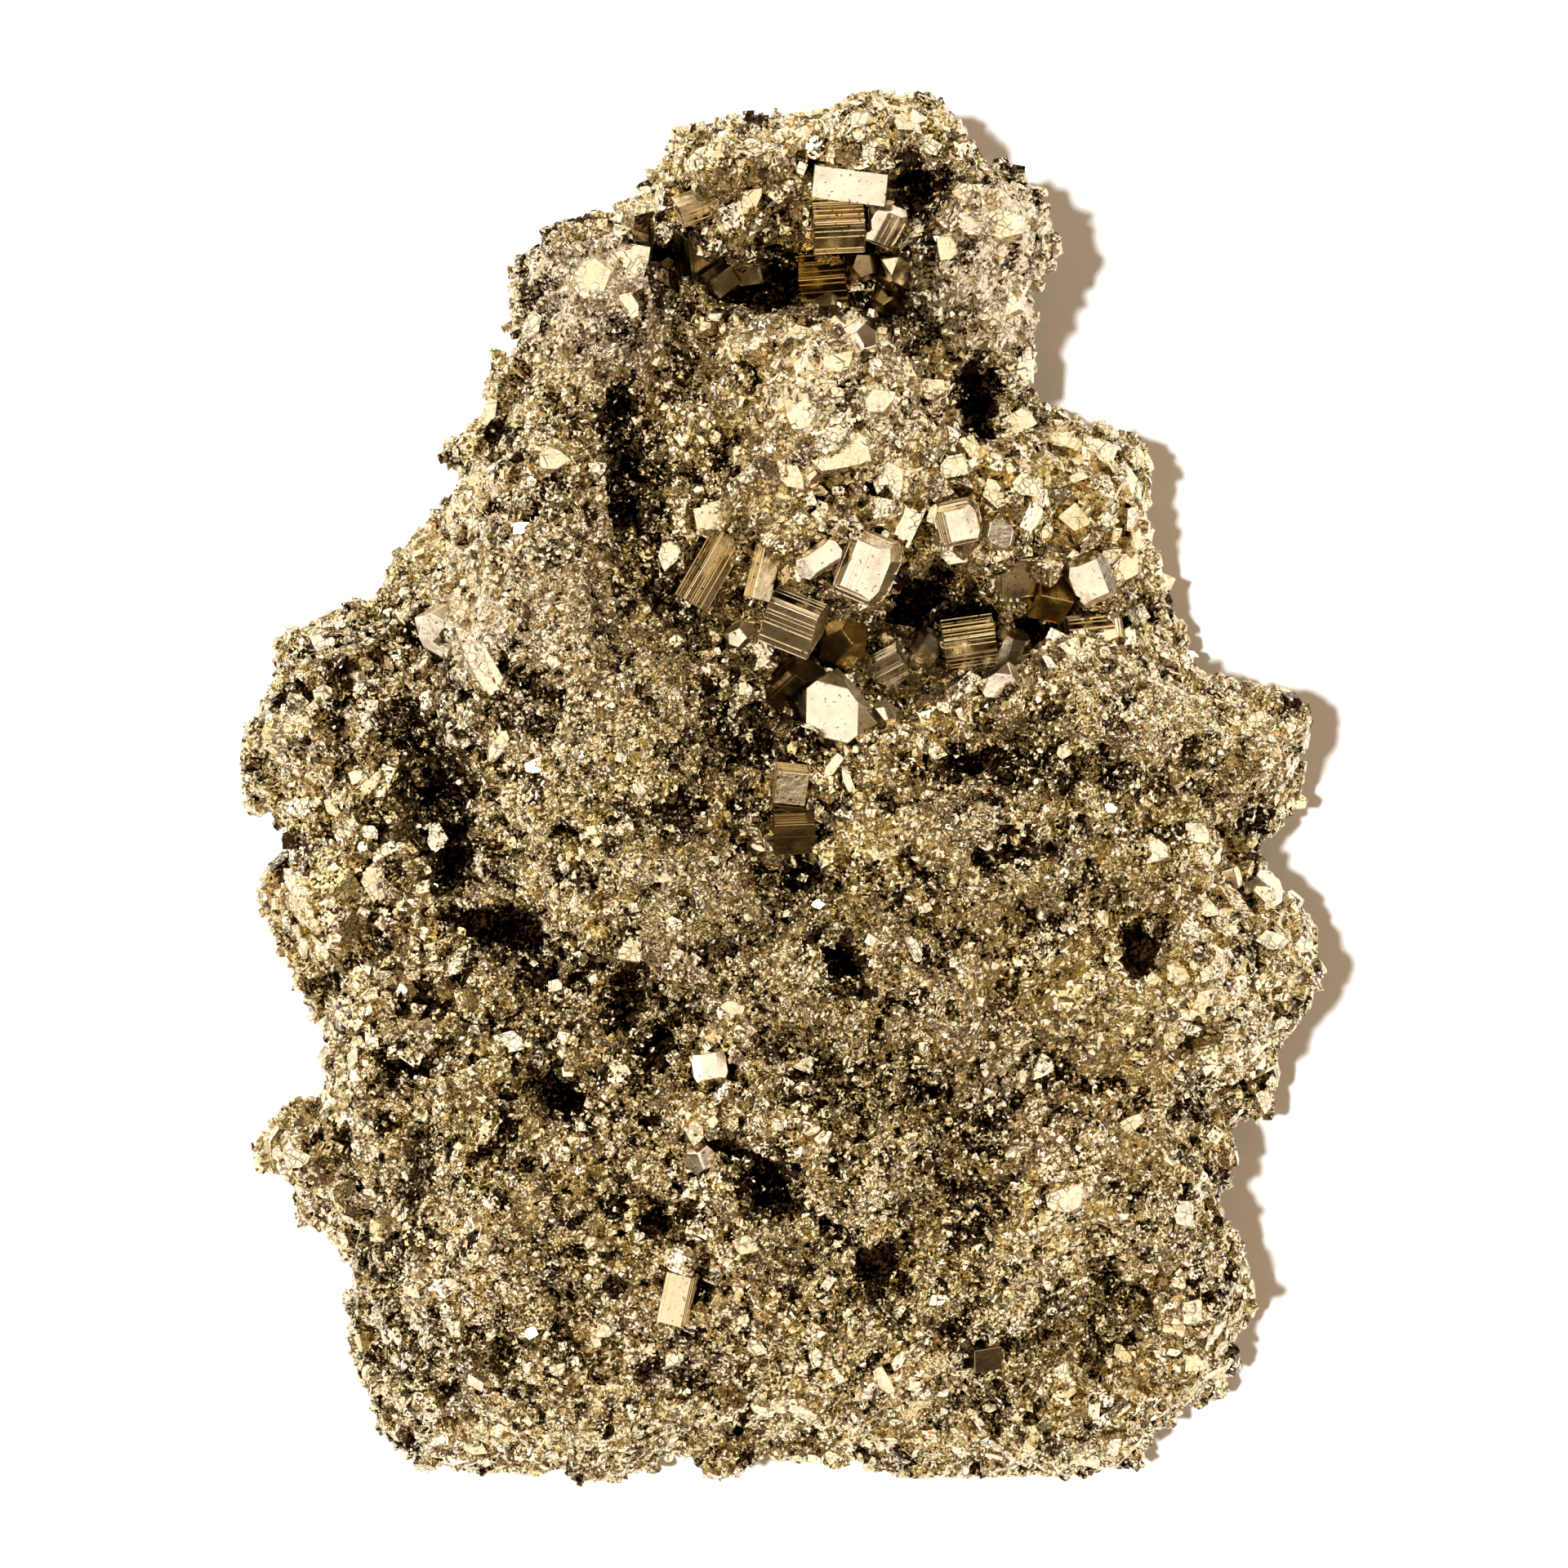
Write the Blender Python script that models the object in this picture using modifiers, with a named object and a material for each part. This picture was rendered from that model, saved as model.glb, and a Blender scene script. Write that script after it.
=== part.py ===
"""Pyrite specimen: a druse, which is a lump of fine intergrown pyrite with coarser single crystals
standing in its pockets. It lies on a broken, nearly flat back, with its showy side up (+Z) and its
long side along Y.

The granular mass is one solid. Each coarse crystal is a solid of its own, seated in a socket with a
small gap round it. Run with: blender --background --python part.py
"""

import math

import bmesh
import bpy
from mathutils import Euler, Matrix, Vector
from mathutils.bvhtree import BVHTree

# Driving dimensions. Every place and size below is written in units of 1 mm on a specimen
# 80 mm long, and UNIT turns those into metres.
SPECIMEN_LENGTH = 0.080
UNIT = SPECIMEN_LENGTH / 80

GAP = 0.30  # between a crystal and its socket, and between two crystals
BACK_CUT_DEPTH = 12.0  # thickness of the block that planes the back flat
FINE_VOXEL = 0.95
MASS_TRIANGLE_SHARE = 0.17
RIM_STRETCH = 1.012  # makes up in length for what the smoothing takes off the two ends
PYRITE_COLOUR = (0.80, 0.66, 0.41, 1.0)

# The rim of the mass, seen from above, clockwise from the top.
RIM = [
    (5.6, 39.9), (8.4, 39.3), (10.2, 37.9), (10.8, 35.6), (12.9, 34.6), (14.2, 32.4),
    (14.7, 29.8), (14.2, 28.4), (14.5, 26.7), (13.9, 25.2), (14.0, 22.8), (15.3, 21.8),
    (18.2, 21.2), (20.5, 19.4), (21.2, 16.5), (21.4, 13.2), (22.4, 11.4), (22.7, 9.5),
    (23.7, 6.8), (25.1, 6.0), (28.3, 5.2), (29.7, 3.8), (30.2, 1.8), (29.2, -0.9),
    (27.8, -4.0), (29.0, -5.6), (29.1, -6.8), (30.5, -7.4), (30.7, -9.6), (30.2, -12.2),
    (28.2, -15.2), (27.5, -17.6), (26.8, -19.4), (24.8, -21.3), (25.8, -23.8), (26.2, -25.6),
    (27.5, -28.1), (26.8, -30.4), (25.7, -33.4), (24.5, -35.8), (22.8, -36.1), (20.5, -39.0),
    (18.3, -39.9), (14.1, -38.6), (12.7, -39.0), (8.2, -38.3), (1.3, -37.5), (-2.5, -38.3),
    (-9.9, -39.4), (-14.1, -38.8), (-20.3, -39.0), (-21.8, -37.2), (-23.2, -33.6), (-24.3, -29.2),
    (-25.3, -26.4), (-25.1, -24.5), (-27.9, -23.2), (-29.0, -21.2), (-28.2, -19.0), (-26.2, -17.2),
    (-26.5, -14.2), (-25.8, -11.0), (-28.1, -6.2), (-28.6, -1.8), (-31.0, 1.6), (-29.6, 4.1),
    (-27.2, 6.8), (-26.7, 9.7), (-24.8, 10.5), (-22.6, 11.0), (-21.4, 13.3), (-18.9, 17.6),
    (-16.8, 19.9), (-15.1, 25.0), (-14.0, 28.9), (-12.3, 31.0), (-9.2, 32.0), (-8.2, 33.9),
    (-6.3, 34.6), (-5.4, 36.7), (-4.0, 37.6), (-1.8, 38.4), (2.2, 39.0),
]

# Stacked layers that carry the rim down to the back and up to the lobes: inset, lowest and highest z.
RIM_LAYERS = [(0.0, 5.5, 9.5), (1.2, 3.5, 12.5), (3.0, 1.5, 15.0), (5.5, -1.0, 17.5)]

# Lobes of the mass: centre, radii, turn about Z in degrees.
LOBES = {
    "lower_body": ((0.0, -21.0, 12.0), (24.0, 16.0, 14.5), 0),
    "middle_body": ((2.0, -3.0, 12.0), (25.0, 14.0, 15.5), 0),
    "upper_body": ((-2.0, 17.0, 12.0), (15.0, 16.0, 14.0), 12),
    "top_body": ((2.0, 30.5, 11.0), (11.0, 7.5, 12.5), 0),
    "top_cap": ((5.6, 36.6, 15.0), (5.2, 3.4, 11.0), 8),
    "top_cap_left": ((-2.2, 35.6, 14.0), (4.4, 2.6, 10.0), 10),
    "top_right_knob": ((11.2, 30.6, 17.0), (3.7, 4.6, 12.5), -8),
    "top_right_side": ((11.6, 25.5, 15.0), (2.6, 3.2, 10.0), 0),
    "top_left_knob": ((-10.2, 27.8, 17.0), (4.4, 4.4, 11.0), 0),
    "top_left_saddle": ((-9.4, 24.4, 15.0), (4.6, 5.2, 11.5), 0),
    "left_upper_ridge": ((-12.4, 18.0, 17.0), (5.2, 9.5, 12.5), -18),
    "centre_ridge": ((2.2, 21.0, 19.0), (7.4, 7.6, 14.5), 0),
    "centre_ridge_foot": ((2.5, 14.5, 18.0), (7.5, 5.0, 13.0), 0),
    "left_brow": ((-13.2, 8.2, 19.0), (5.6, 8.0, 14.0), -22),
    "brow_middle": ((-9.6, 2.4, 19.5), (7.0, 8.0, 15.0), -20),
    "brow_foot": ((-7.0, -5.0, 19.0), (9.5, 5.6, 14.5), -25),
    "left_outcrop": ((-24.4, 5.2, 8.5), (4.6, 5.0, 8.5), 20),
    "left_outcrop_tip": ((-27.8, 2.0, 7.5), (3.2, 2.8, 6.0), 25),
    "left_flank": ((-24.6, -5.0, 9.0), (4.2, 7.0, 8.0), -8),
    "right_upper_slope": ((16.6, 15.2, 11.0), (4.8, 6.2, 11.0), -15),
    "right_upper_inner": ((11.0, 17.0, 15.0), (5.0, 5.0, 12.5), 0),
    "right_shoulder": ((17.6, 4.4, 17.0), (9.0, 3.8, 13.5), -8),
    "right_shoulder_end": ((26.0, 2.2, 12.5), (4.0, 3.6, 11.5), -10),
    "right_slab": ((13.5, -2.6, 17.0), (11.0, 6.6, 14.0), 0),
    "right_lower_slab": ((19.5, -10.8, 16.0), (9.5, 6.0, 13.0), 0),
    "right_cheek": ((26.6, -10.4, 12.5), (4.0, 4.6, 11.0), 0),
    "centre_swell": ((3.5, -10.5, 18.0), (9.5, 6.5, 14.0), 0),
    "left_lower_swell": ((-18.0, -15.5, 13.0), (7.6, 7.0, 11.5), 0),
    "left_knob": ((-26.4, -20.8, 7.5), (2.8, 2.8, 6.5), 0),
    "lower_left_swell": ((-14.0, -25.0, 15.0), (9.0, 7.0, 12.0), 10),
    "lower_centre_swell": ((3.0, -21.0, 17.0), (9.0, 7.5, 13.0), 0),
    "lower_right_swell": ((16.5, -22.5, 15.5), (8.6, 6.5, 12.5), 0),
    "lower_right_cheek": ((23.2, -28.0, 11.5), (3.9, 4.6, 10.5), 0),
    "foot_right": ((17.5, -34.6, 9.5), (5.2, 4.6, 10.0), 0),
    "foot_centre": ((4.0, -31.5, 13.0), (9.0, 5.2, 11.5), 0),
    "foot_left": ((-10.5, -33.6, 12.0), (8.0, 4.8, 11.0), 0),
    "foot_left_corner": ((-19.4, -34.2, 8.5), (3.2, 4.0, 8.5), 0),
}

# Pockets and pits sunk in the showy side: place (x, y), radii across, depth under the surface
# there, and turn about Z in degrees.
POCKETS = {
    "top_pocket": ((0.4, 29.2), (6.0, 2.4), 8.5, -4),
    "top_pocket_right": ((5.6, 29.0), (2.9, 2.9), 5.0, -30),
    "top_pocket_left": ((-6.0, 31.0), (3.0, 1.8), 5.0, -22),
    "top_shelf": ((0.6, 32.6), (7.0, 2.4), 2.6, 2),
    "cap_slot": ((7.5, 34.5), (1.1, 2.0), 4.5, 25),
    "cap_dent": ((-0.9, 37.4), (1.0, 0.8), 2.0, 0),
    "side_slot": ((11.2, 22.4), (1.3, 2.9), 5.0, 10),
    "upper_valley": ((-8.6, 18.0), (2.0, 5.6), 5.0, 6),
    "upper_valley_foot": ((-5.4, 10.6), (1.6, 4.2), 2.2, 24),
    "centre_slope": ((-2.2, 4.4), (2.2, 4.6), 2.6, 18),
    "centre_pocket": ((8.2, 10.2), (4.6, 2.4), 8.0, -6),
    "centre_pocket_right": ((14.8, 9.3), (2.6, 1.6), 5.0, 0),
    "centre_bowl": ((6.6, 9.2), (8.6, 4.8), 3.2, -4),
    "left_valley": ((-19.6, -1.2), (2.6, 5.4), 5.5, 22),
    "left_cleft": ((-16.0, -7.4), (3.4, 1.6), 5.5, -12),
    "heart_fissure": ((1.5, -4.2), (1.3, 2.2), 4.5, 8),
    "heart_fissure_foot": ((3.9, -9.3), (1.2, 1.7), 3.2, 30),
    "heart_fissure_end": ((6.6, -11.6), (2.4, 0.8), 1.8, -30),
    "right_crack": ((10.6, 1.3), (3.4, 1.1), 3.8, -18),
    "right_dent": ((13.0, -3.0), (1.6, 1.1), 2.0, 0),
    "left_crack": ((-8.7, -11.4), (0.9, 2.8), 3.0, -14),
    "left_hole": ((-12.0, -17.1), (2.2, 1.4), 5.0, -30),
    "left_hole_outer": ((-20.4, -12.2), (1.7, 1.1), 3.0, 0),
    "left_hole_lower": ((-20.2, -15.2), (1.2, 0.9), 2.4, 20),
    "small_hole": ((-6.8, -14.9), (0.9, 0.9), 2.8, 0),
    "lower_hole": ((-0.5, -21.9), (1.5, 2.2), 5.0, 8),
    "lower_hole_arm": ((-2.8, -19.7), (1.6, 1.0), 3.4, -30),
    "round_hole": ((5.3, -26.5), (1.5, 1.1), 4.2, 0),
    "low_left_hole": ((-7.0, -24.2), (0.9, 0.8), 2.2, 0),
    "cheek_hole": ((20.6, -8.2), (1.2, 2.4), 4.0, -24),
    "edge_fissure": ((27.1, -1.8), (0.9, 2.4), 3.8, 6),
    "edge_hole": ((26.1, -6.6), (1.0, 0.8), 2.4, 0),
    "foot_hole": ((11.7, -31.7), (1.1, 0.9), 2.4, 0),
    "foot_hole_left": ((-5.0, -30.3), (0.9, 1.0), 2.2, 0),
}

CUBE, CUBE_OCTAHEDRON, CUBE_PYRITOHEDRON, PYRITOHEDRON = range(4)

# Coarse crystals: place (x, y) of the centre, lift of the centre above the surface there, edge
# lengths, habit, and turn about X, Y and Z in degrees.
CRYSTALS = {
    "plate_crystal_top": ((4.2, 34.5), 0.2, (4.2, 1.9, 2.2), CUBE, (18, -6, -8)),
    "striated_block_top": ((3.4, 32.1), 0.4, (2.9, 2.3, 2.2), CUBE, (42, 4, 3)),
    "pale_block_top": ((5.9, 32.3), 0.5, (2.0, 2.6, 2.2), CUBE_PYRITOHEDRON, (20, 25, -20)),
    "amber_cube_top": ((2.6, 29.4), 1.2, (2.7, 1.9, 1.9), CUBE, (52, -6, 4)),
    "dark_pyritohedron_top": ((4.9, 30.1), 1.0, (1.9, 1.9, 1.9), PYRITOHEDRON, (10, 24, 15)),
    "wedge_crystal_top": ((6.8, 29.9), 0.4, (1.9, 2.1, 1.9), CUBE_OCTAHEDRON, (30, 20, 28)),
    "amber_crystal_top": ((6.2, 28.1), 0.3, (1.7, 1.6, 1.7), PYRITOHEDRON, (40, 10, 60)),
    "dark_cube_upper_left": ((-4.5, 30.9), 0.7, (2.1, 2.6, 2.1), CUBE, (24, 20, 16)),
    "dark_cube_far_left": ((-7.9, 31.6), 0.4, (2.2, 1.9, 1.9), CUBE_PYRITOHEDRON, (40, -20, -18)),
    "striated_plate_upper_left": ((-4.6, 33.3), 0.2, (2.3, 1.4, 1.5), CUBE, (30, 8, 20)),
    "small_block_left": ((-3.3, 29.3), 0.7, (1.5, 1.3, 1.3), CUBE, (34, 14, 38)),
    "small_block_right": ((-1.5, 29.9), 0.8, (1.5, 1.3, 1.4), CUBE, (30, -16, 6)),
    "pocket_foot_pyramid": ((2.9, 27.0), 0.4, (2.0, 1.9, 1.9), CUBE_OCTAHEDRON, (34, 12, 50)),
    "round_crystal_ridge": ((4.4, 25.1), 0.1, (2.2, 2.0, 1.6), PYRITOHEDRON, (6, 10, 30)),
    "striated_cube_centre": ((1.0, 9.9), 0.9, (3.0, 2.9, 2.8), CUBE, (38, -8, -22)),
    "pyritohedron_centre": ((3.7, 8.6), 0.5, (2.5, 3.1, 2.6), PYRITOHEDRON, (24, 18, -30)),
    "bright_crystal_centre": ((3.3, 4.6), 0.7, (3.1, 3.9, 2.6), CUBE_OCTAHEDRON, (-8, -10, 38)),
    "dark_cube_centre": ((1.0, 6.1), 0.5, (2.6, 2.3, 2.4), CUBE, (30, -28, 42)),
    "oval_crystal_centre": ((5.0, 12.6), 0.7, (2.8, 3.8, 2.9), CUBE_PYRITOHEDRON, (8, -16, -24)),
    "slim_crystal_centre": ((2.3, 13.1), 0.3, (2.7, 1.5, 1.5), CUBE_PYRITOHEDRON, (6, -8, 34)),
    "upright_blade": ((-0.7, 12.8), 0.2, (1.1, 4.0, 1.3), CUBE, (0, 24, -14)),
    "leaning_blade": ((-3.8, 12.6), 0.2, (1.6, 4.4, 1.5), CUBE, (0, 28, -30)),
    "small_oval": ((-2.1, 9.0), 0.4, (1.8, 1.4, 1.3), PYRITOHEDRON, (8, 6, 40)),
    "hexagon_crystal": ((10.1, 15.2), 0.4, (2.3, 2.4, 2.4), CUBE_PYRITOHEDRON, (12, -10, 12)),
    "small_pale_crystal": ((12.2, 14.7), 0.3, (1.5, 1.8, 1.5), CUBE_OCTAHEDRON, (20, 10, 30)),
    "striated_gold_cube": ((13.5, 12.6), 0.4, (2.2, 2.3, 2.1), CUBE, (28, 10, 6)),
    "amber_block": ((15.4, 11.2), 0.4, (2.0, 2.0, 2.0), CUBE, (48, 18, -12)),
    "pale_slab": ((17.6, 12.2), 0.3, (2.5, 2.8, 1.8), CUBE_PYRITOHEDRON, (10, 14, 24)),
    "barrel_crystal": ((17.9, 8.9), 0.7, (3.6, 2.3, 2.4), CUBE_PYRITOHEDRON, (46, 0, 6)),
    "bridge_crystal": ((10.9, 8.6), 0.8, (3.0, 2.2, 2.2), CUBE, (34, 0, 8)),
    "pale_twin_upper": ((13.2, 8.2), 0.5, (1.7, 2.4, 1.9), CUBE_PYRITOHEDRON, (16, 20, -10)),
    "pale_twin_lower": ((12.4, 6.3), 0.3, (2.0, 1.5, 1.6), CUBE_OCTAHEDRON, (14, -16, 30)),
    "upright_chip": ((8.4, 8.2), 0.5, (1.2, 2.2, 1.5), CUBE, (14, 16, -28)),
    "pale_block_pocket": ((6.3, 7.2), 0.3, (2.0, 1.7, 1.7), CUBE, (20, -10, 28)),
    "bright_pyritohedron": ((5.9, 4.5), 0.2, (1.6, 1.5, 1.4), PYRITOHEDRON, (0, 10, 20)),
    "striated_chip": ((0.7, 0.6), 0.3, (1.8, 1.9, 1.6), CUBE, (20, 6, -6)),
    "banded_block": ((0.9, -1.9), 0.4, (2.3, 2.1, 2.0), CUBE, (38, 2, 2)),
    "right_edge_crystal": ((27.6, -5.4), 0.2, (2.7, 2.0, 2.0), PYRITOHEDRON, (10, 20, -28)),
    "right_edge_block": ((25.5, -4.7), 0.1, (1.5, 1.5, 1.5), CUBE_PYRITOHEDRON, (14, 10, 18)),
    "left_ridge_crystal": ((-19.2, 9.3), 0.4, (2.1, 2.7, 1.9), CUBE_OCTAHEDRON, (10, -20, 22)),
    "framed_crystal": ((-3.7, -15.3), 0.2, (2.0, 2.0, 1.7), CUBE_PYRITOHEDRON, (-10, -8, 10)),
    "pale_knob_lower": ((-4.3, -20.3), 0.1, (1.8, 1.9, 1.6), PYRITOHEDRON, (12, 0, 20)),
    "striated_post_lower": ((-5.6, -28.2), 0.2, (1.5, 2.9, 1.6), CUBE, (8, -14, -14)),
    "dark_cube_lower": ((11.7, -31.6), 0.2, (1.6, 1.5, 1.5), CUBE, (30, 12, 8)),
}


def clear_scene():
    """Removes every object of the startup scene."""
    for obj in list(bpy.data.objects):
        bpy.data.objects.remove(obj, do_unlink=True)


def new_collection(name):
    collection = bpy.data.collections.new(name)
    bpy.context.scene.collection.children.link(collection)
    return collection


def pyrite_material(name, roughness):
    """Brassy metal."""
    material = bpy.data.materials.new(name)
    material.use_nodes = True
    shader = material.node_tree.nodes["Principled BSDF"]
    shader.inputs["Base Color"].default_value = PYRITE_COLOUR
    shader.inputs["Metallic"].default_value = 1.0
    shader.inputs["Roughness"].default_value = roughness
    return material


def new_object(name, mesh, collection):
    obj = bpy.data.objects.new(name, mesh)
    collection.objects.link(obj)
    return obj


def as_helper(obj):
    """A cutter or a guide: drawn as a wire, never rendered."""
    obj.hide_render = True
    obj.display_type = "WIRE"


def placement(centre, turn):
    """Where a shape stands: centre in specimen units, turn in degrees about X, Y and Z."""
    angles = Euler([math.radians(a) for a in turn])
    return Matrix.Translation(Vector(centre) * UNIT) @ angles.to_matrix().to_4x4()


def mesh_from(bm, name):
    mesh = bpy.data.meshes.new(name)
    bm.to_mesh(mesh)
    bm.free()
    return mesh


def ellipsoid(bm, centre, radii, turn_z, detail):
    """Adds an ellipsoid to bm."""
    place = placement(centre, (0, 0, turn_z)) @ Matrix.Diagonal((*(r * UNIT for r in radii), 1))
    bmesh.ops.create_icosphere(bm, subdivisions=detail, radius=1, matrix=place)


def rim_layer(inset, low, high):
    """One flat layer of the rim's outline, drawn in by inset, as a mesh."""
    curve = bpy.data.curves.new("rim_layer", "CURVE")
    curve.dimensions = "2D"
    curve.fill_mode = "BOTH"
    curve.extrude = (high - low) / 2 * UNIT
    curve.offset = -inset * UNIT
    spline = curve.splines.new("POLY")
    spline.points.add(len(RIM) - 1)
    for point, (x, y) in zip(spline.points, RIM):
        point.co = (x * UNIT, y * RIM_STRETCH * UNIT, 0, 1)
    spline.use_cyclic_u = True
    guide = bpy.data.objects.new("rim_layer", curve)
    bpy.context.scene.collection.objects.link(guide)
    graph = bpy.context.evaluated_depsgraph_get()
    mesh = bpy.data.meshes.new_from_object(guide.evaluated_get(graph))
    mesh.transform(Matrix.Translation((0, 0, (high + low) / 2 * UNIT)))
    bpy.data.objects.remove(guide)
    return mesh


def mass_blank():
    """The rim layers and lobes in one mesh, still overlapping: the voxel remesh joins them."""
    bm = bmesh.new()
    for layer in RIM_LAYERS:
        bm.from_mesh(rim_layer(*layer))
    bmesh.ops.remove_doubles(bm, verts=bm.verts, dist=1e-6)
    for centre, radii, turn_z in LOBES.values():
        ellipsoid(bm, centre, radii, turn_z, 3)
    return mesh_from(bm, "pyrite_mass")


def add_relief(obj, name, kind, size, height, mid_level):
    """Rough relief from a CLOUDS or VORONOI texture: bumps about size across and height tall."""
    texture = bpy.data.textures.new(name, kind)
    texture.noise_scale = size * UNIT
    relief = obj.modifiers.new(name, "DISPLACE")
    relief.texture = texture
    relief.strength = height * UNIT
    relief.mid_level = mid_level


def add_smooth(obj, name, factor, rounds):
    smooth = obj.modifiers.new(name, "SMOOTH")
    smooth.factor = factor
    smooth.iterations = rounds


def add_remesh(obj, name, voxel):
    remesh = obj.modifiers.new(name, "REMESH")
    remesh.mode = "VOXEL"
    remesh.voxel_size = voxel * UNIT


def add_cut(obj, name, cutters):
    """Takes every object of a collection, or one object, away from obj."""
    cut = obj.modifiers.new(name, "BOOLEAN")
    cut.operation = "DIFFERENCE"
    cut.solver = "EXACT"
    if isinstance(cutters, bpy.types.Collection):
        cut.operand_type = "COLLECTION"
        cut.collection = cutters
    else:
        cut.object = cutters


def pocket_cutters(collection, tree):
    """One egg-shaped cutter for each pocket, half of it under the surface it is sunk in."""
    for name, ((x, y), (across_x, across_y), depth, turn_z) in POCKETS.items():
        height = surface_height(tree, x, y, 1.0)
        bm = bmesh.new()
        ellipsoid(bm, (x, y, height), (across_x, across_y, depth), turn_z, 3)
        as_helper(new_object("cut_" + name, mesh_from(bm, name), collection))


def granular_mass(parts, cutters, material):
    """The lump before its crystal sockets are cut: lobes joined, roughened and pitted."""
    mass = new_object("pyrite_mass", mass_blank(), parts)
    mass.data.materials.append(material)
    add_remesh(mass, "join_lobes", FINE_VOXEL)
    add_smooth(mass, "soften", 0.5, 3)
    add_relief(mass, "broad_relief", "CLOUDS", 7.0, 2.8, 0.5)
    add_relief(mass, "nodules", "VORONOI", 4.6, -2.5, 0.45)
    add_smooth(mass, "blunt_tips", 0.4, 1)
    pockets = bpy.data.collections.new("pocket_cutters")
    cutters.children.link(pockets)
    pocket_cutters(pockets, evaluated_tree(mass))
    add_cut(mass, "pockets", pockets)
    add_remesh(mass, "clean", FINE_VOXEL)
    thin = mass.modifiers.new("thin_out", "DECIMATE")
    thin.ratio = MASS_TRIANGLE_SHARE
    return mass


def evaluated_tree(obj):
    """Search tree of obj as its modifiers leave it."""
    bpy.context.view_layer.update()
    return BVHTree.FromObject(obj, bpy.context.evaluated_depsgraph_get())


def surface_height(tree, x, y, reach):
    """Height of the surface around (x, y), in specimen units, as the middle one of five drops."""
    drops = [(0, 0), (reach, 0), (-reach, 0), (0, reach), (0, -reach)]
    heights = []
    for dx, dy in drops:
        start = Vector(((x + dx) * UNIT, (y + dy) * UNIT, 100 * UNIT))
        hit = tree.ray_cast(start, Vector((0, 0, -1)))[0]
        if hit is not None:
            heights.append(hit.z / UNIT)
    return sorted(heights)[len(heights) // 2]


def cut_corner(bm, normal, distance):
    """Planes away what of bm lies further than distance along normal, and closes the cut."""
    direction = Vector(normal).normalized()
    geometry = bm.verts[:] + bm.edges[:] + bm.faces[:]
    cut = bmesh.ops.bisect_plane(
        bm, geom=geometry, plane_co=direction * distance, plane_no=direction, clear_outer=True
    )
    edges = [g for g in cut["geom_cut"] if isinstance(g, bmesh.types.BMEdge)]
    if edges:
        bmesh.ops.contextual_create(bm, geom=edges)


def signed(a, b, c):
    """(a, b, c) with every choice of signs, each once."""
    signs = [(1, -1) if n else (1,) for n in (a, b, c)]
    return [(a * i, b * j, c * k) for i in signs[0] for j in signs[1] for k in signs[2]]


OCTAHEDRON_FACES = signed(1, 1, 1)
PYRITOHEDRON_FACES = signed(2, 1, 0) + signed(0, 2, 1) + signed(1, 0, 2)

# How far out each habit's extra planes lie, in half edge lengths. A cube's corner is at 1.732
# along (1, 1, 1), and the middle of its edge at 1.342 along (2, 1, 0).
HABIT_PLANES = {
    CUBE: [],
    CUBE_OCTAHEDRON: [(OCTAHEDRON_FACES, 1.28)],
    CUBE_PYRITOHEDRON: [(PYRITOHEDRON_FACES, 1.10)],
    PYRITOHEDRON: [(PYRITOHEDRON_FACES, 0.92)],
}


def crystal_mesh(name, edges, habit, grow):
    """A crystal of the given habit, its faces moved out by grow."""
    bm = bmesh.new()
    bmesh.ops.create_cube(bm, size=2)
    for planes, distance in HABIT_PLANES[habit]:
        for normal in planes:
            cut_corner(bm, normal, distance)
    bmesh.ops.recalc_face_normals(bm, faces=bm.faces)
    halves = [(e / 2 + grow) * UNIT for e in edges]
    bmesh.ops.scale(bm, vec=halves, verts=bm.verts)
    return mesh_from(bm, name)


def place_crystals(mass, parts, cutters, material):
    """Seats each crystal in its socket, and keeps it clear of the crystals before it."""
    sockets = bpy.data.collections.new("socket_cutters")
    cutters.children.link(sockets)
    tree = evaluated_tree(mass)
    seated = []
    for name, ((x, y), lift, edges, habit, turn) in CRYSTALS.items():
        height = surface_height(tree, x, y, min(edges) / 2)
        place = placement((x, y, height + lift), turn)
        crystal = new_object(name, crystal_mesh(name, edges, habit, 0), parts)
        crystal.matrix_world = place
        crystal.data.materials.append(material)
        socket = new_object("socket_" + name, crystal_mesh(name, edges, habit, GAP), sockets)
        socket.matrix_world = place
        as_helper(socket)
        reach = Vector(edges).length / 2
        for other, other_socket, other_reach in seated:
            apart = (other.matrix_world.translation - place.translation).length / UNIT
            if apart < reach + other_reach + GAP:
                add_cut(crystal, "clear_of_" + other.name, other_socket)
        seated.append((crystal, socket, reach))
    add_cut(mass, "sockets", sockets)


def back_cutter(cutters):
    """The block under z = 0 that planes the back into a flat face to rest on."""
    bm = bmesh.new()
    size = Matrix.Diagonal((100 * UNIT, 100 * UNIT, BACK_CUT_DEPTH * UNIT, 1))
    place = Matrix.Translation((0, 0, -BACK_CUT_DEPTH / 2 * UNIT))
    bmesh.ops.create_cube(bm, size=1, matrix=place @ size)
    block = new_object("cut_back", mesh_from(bm, "cut_back"), cutters)
    as_helper(block)
    return block


def box_of(objects):
    """Lowest and highest corner of the evaluated objects."""
    bpy.context.view_layer.update()
    graph = bpy.context.evaluated_depsgraph_get()
    points = []
    for obj in objects:
        evaluated = obj.evaluated_get(graph)
        points += [evaluated.matrix_world @ Vector(c) for c in evaluated.bound_box]
    low = Vector(map(min, zip(*points)))
    high = Vector(map(max, zip(*points)))
    return low, high


def centre_on_origin(parts, everything):
    """Moves the specimen so that the origin is under the middle of its box."""
    low, high = box_of(parts.objects)
    frame = bpy.data.objects.new("specimen_frame", None)
    parts.objects.link(frame)
    for obj in everything:
        obj.parent = frame
    frame.location = (-(low.x + high.x) / 2, -(low.y + high.y) / 2, -low.z)


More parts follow.
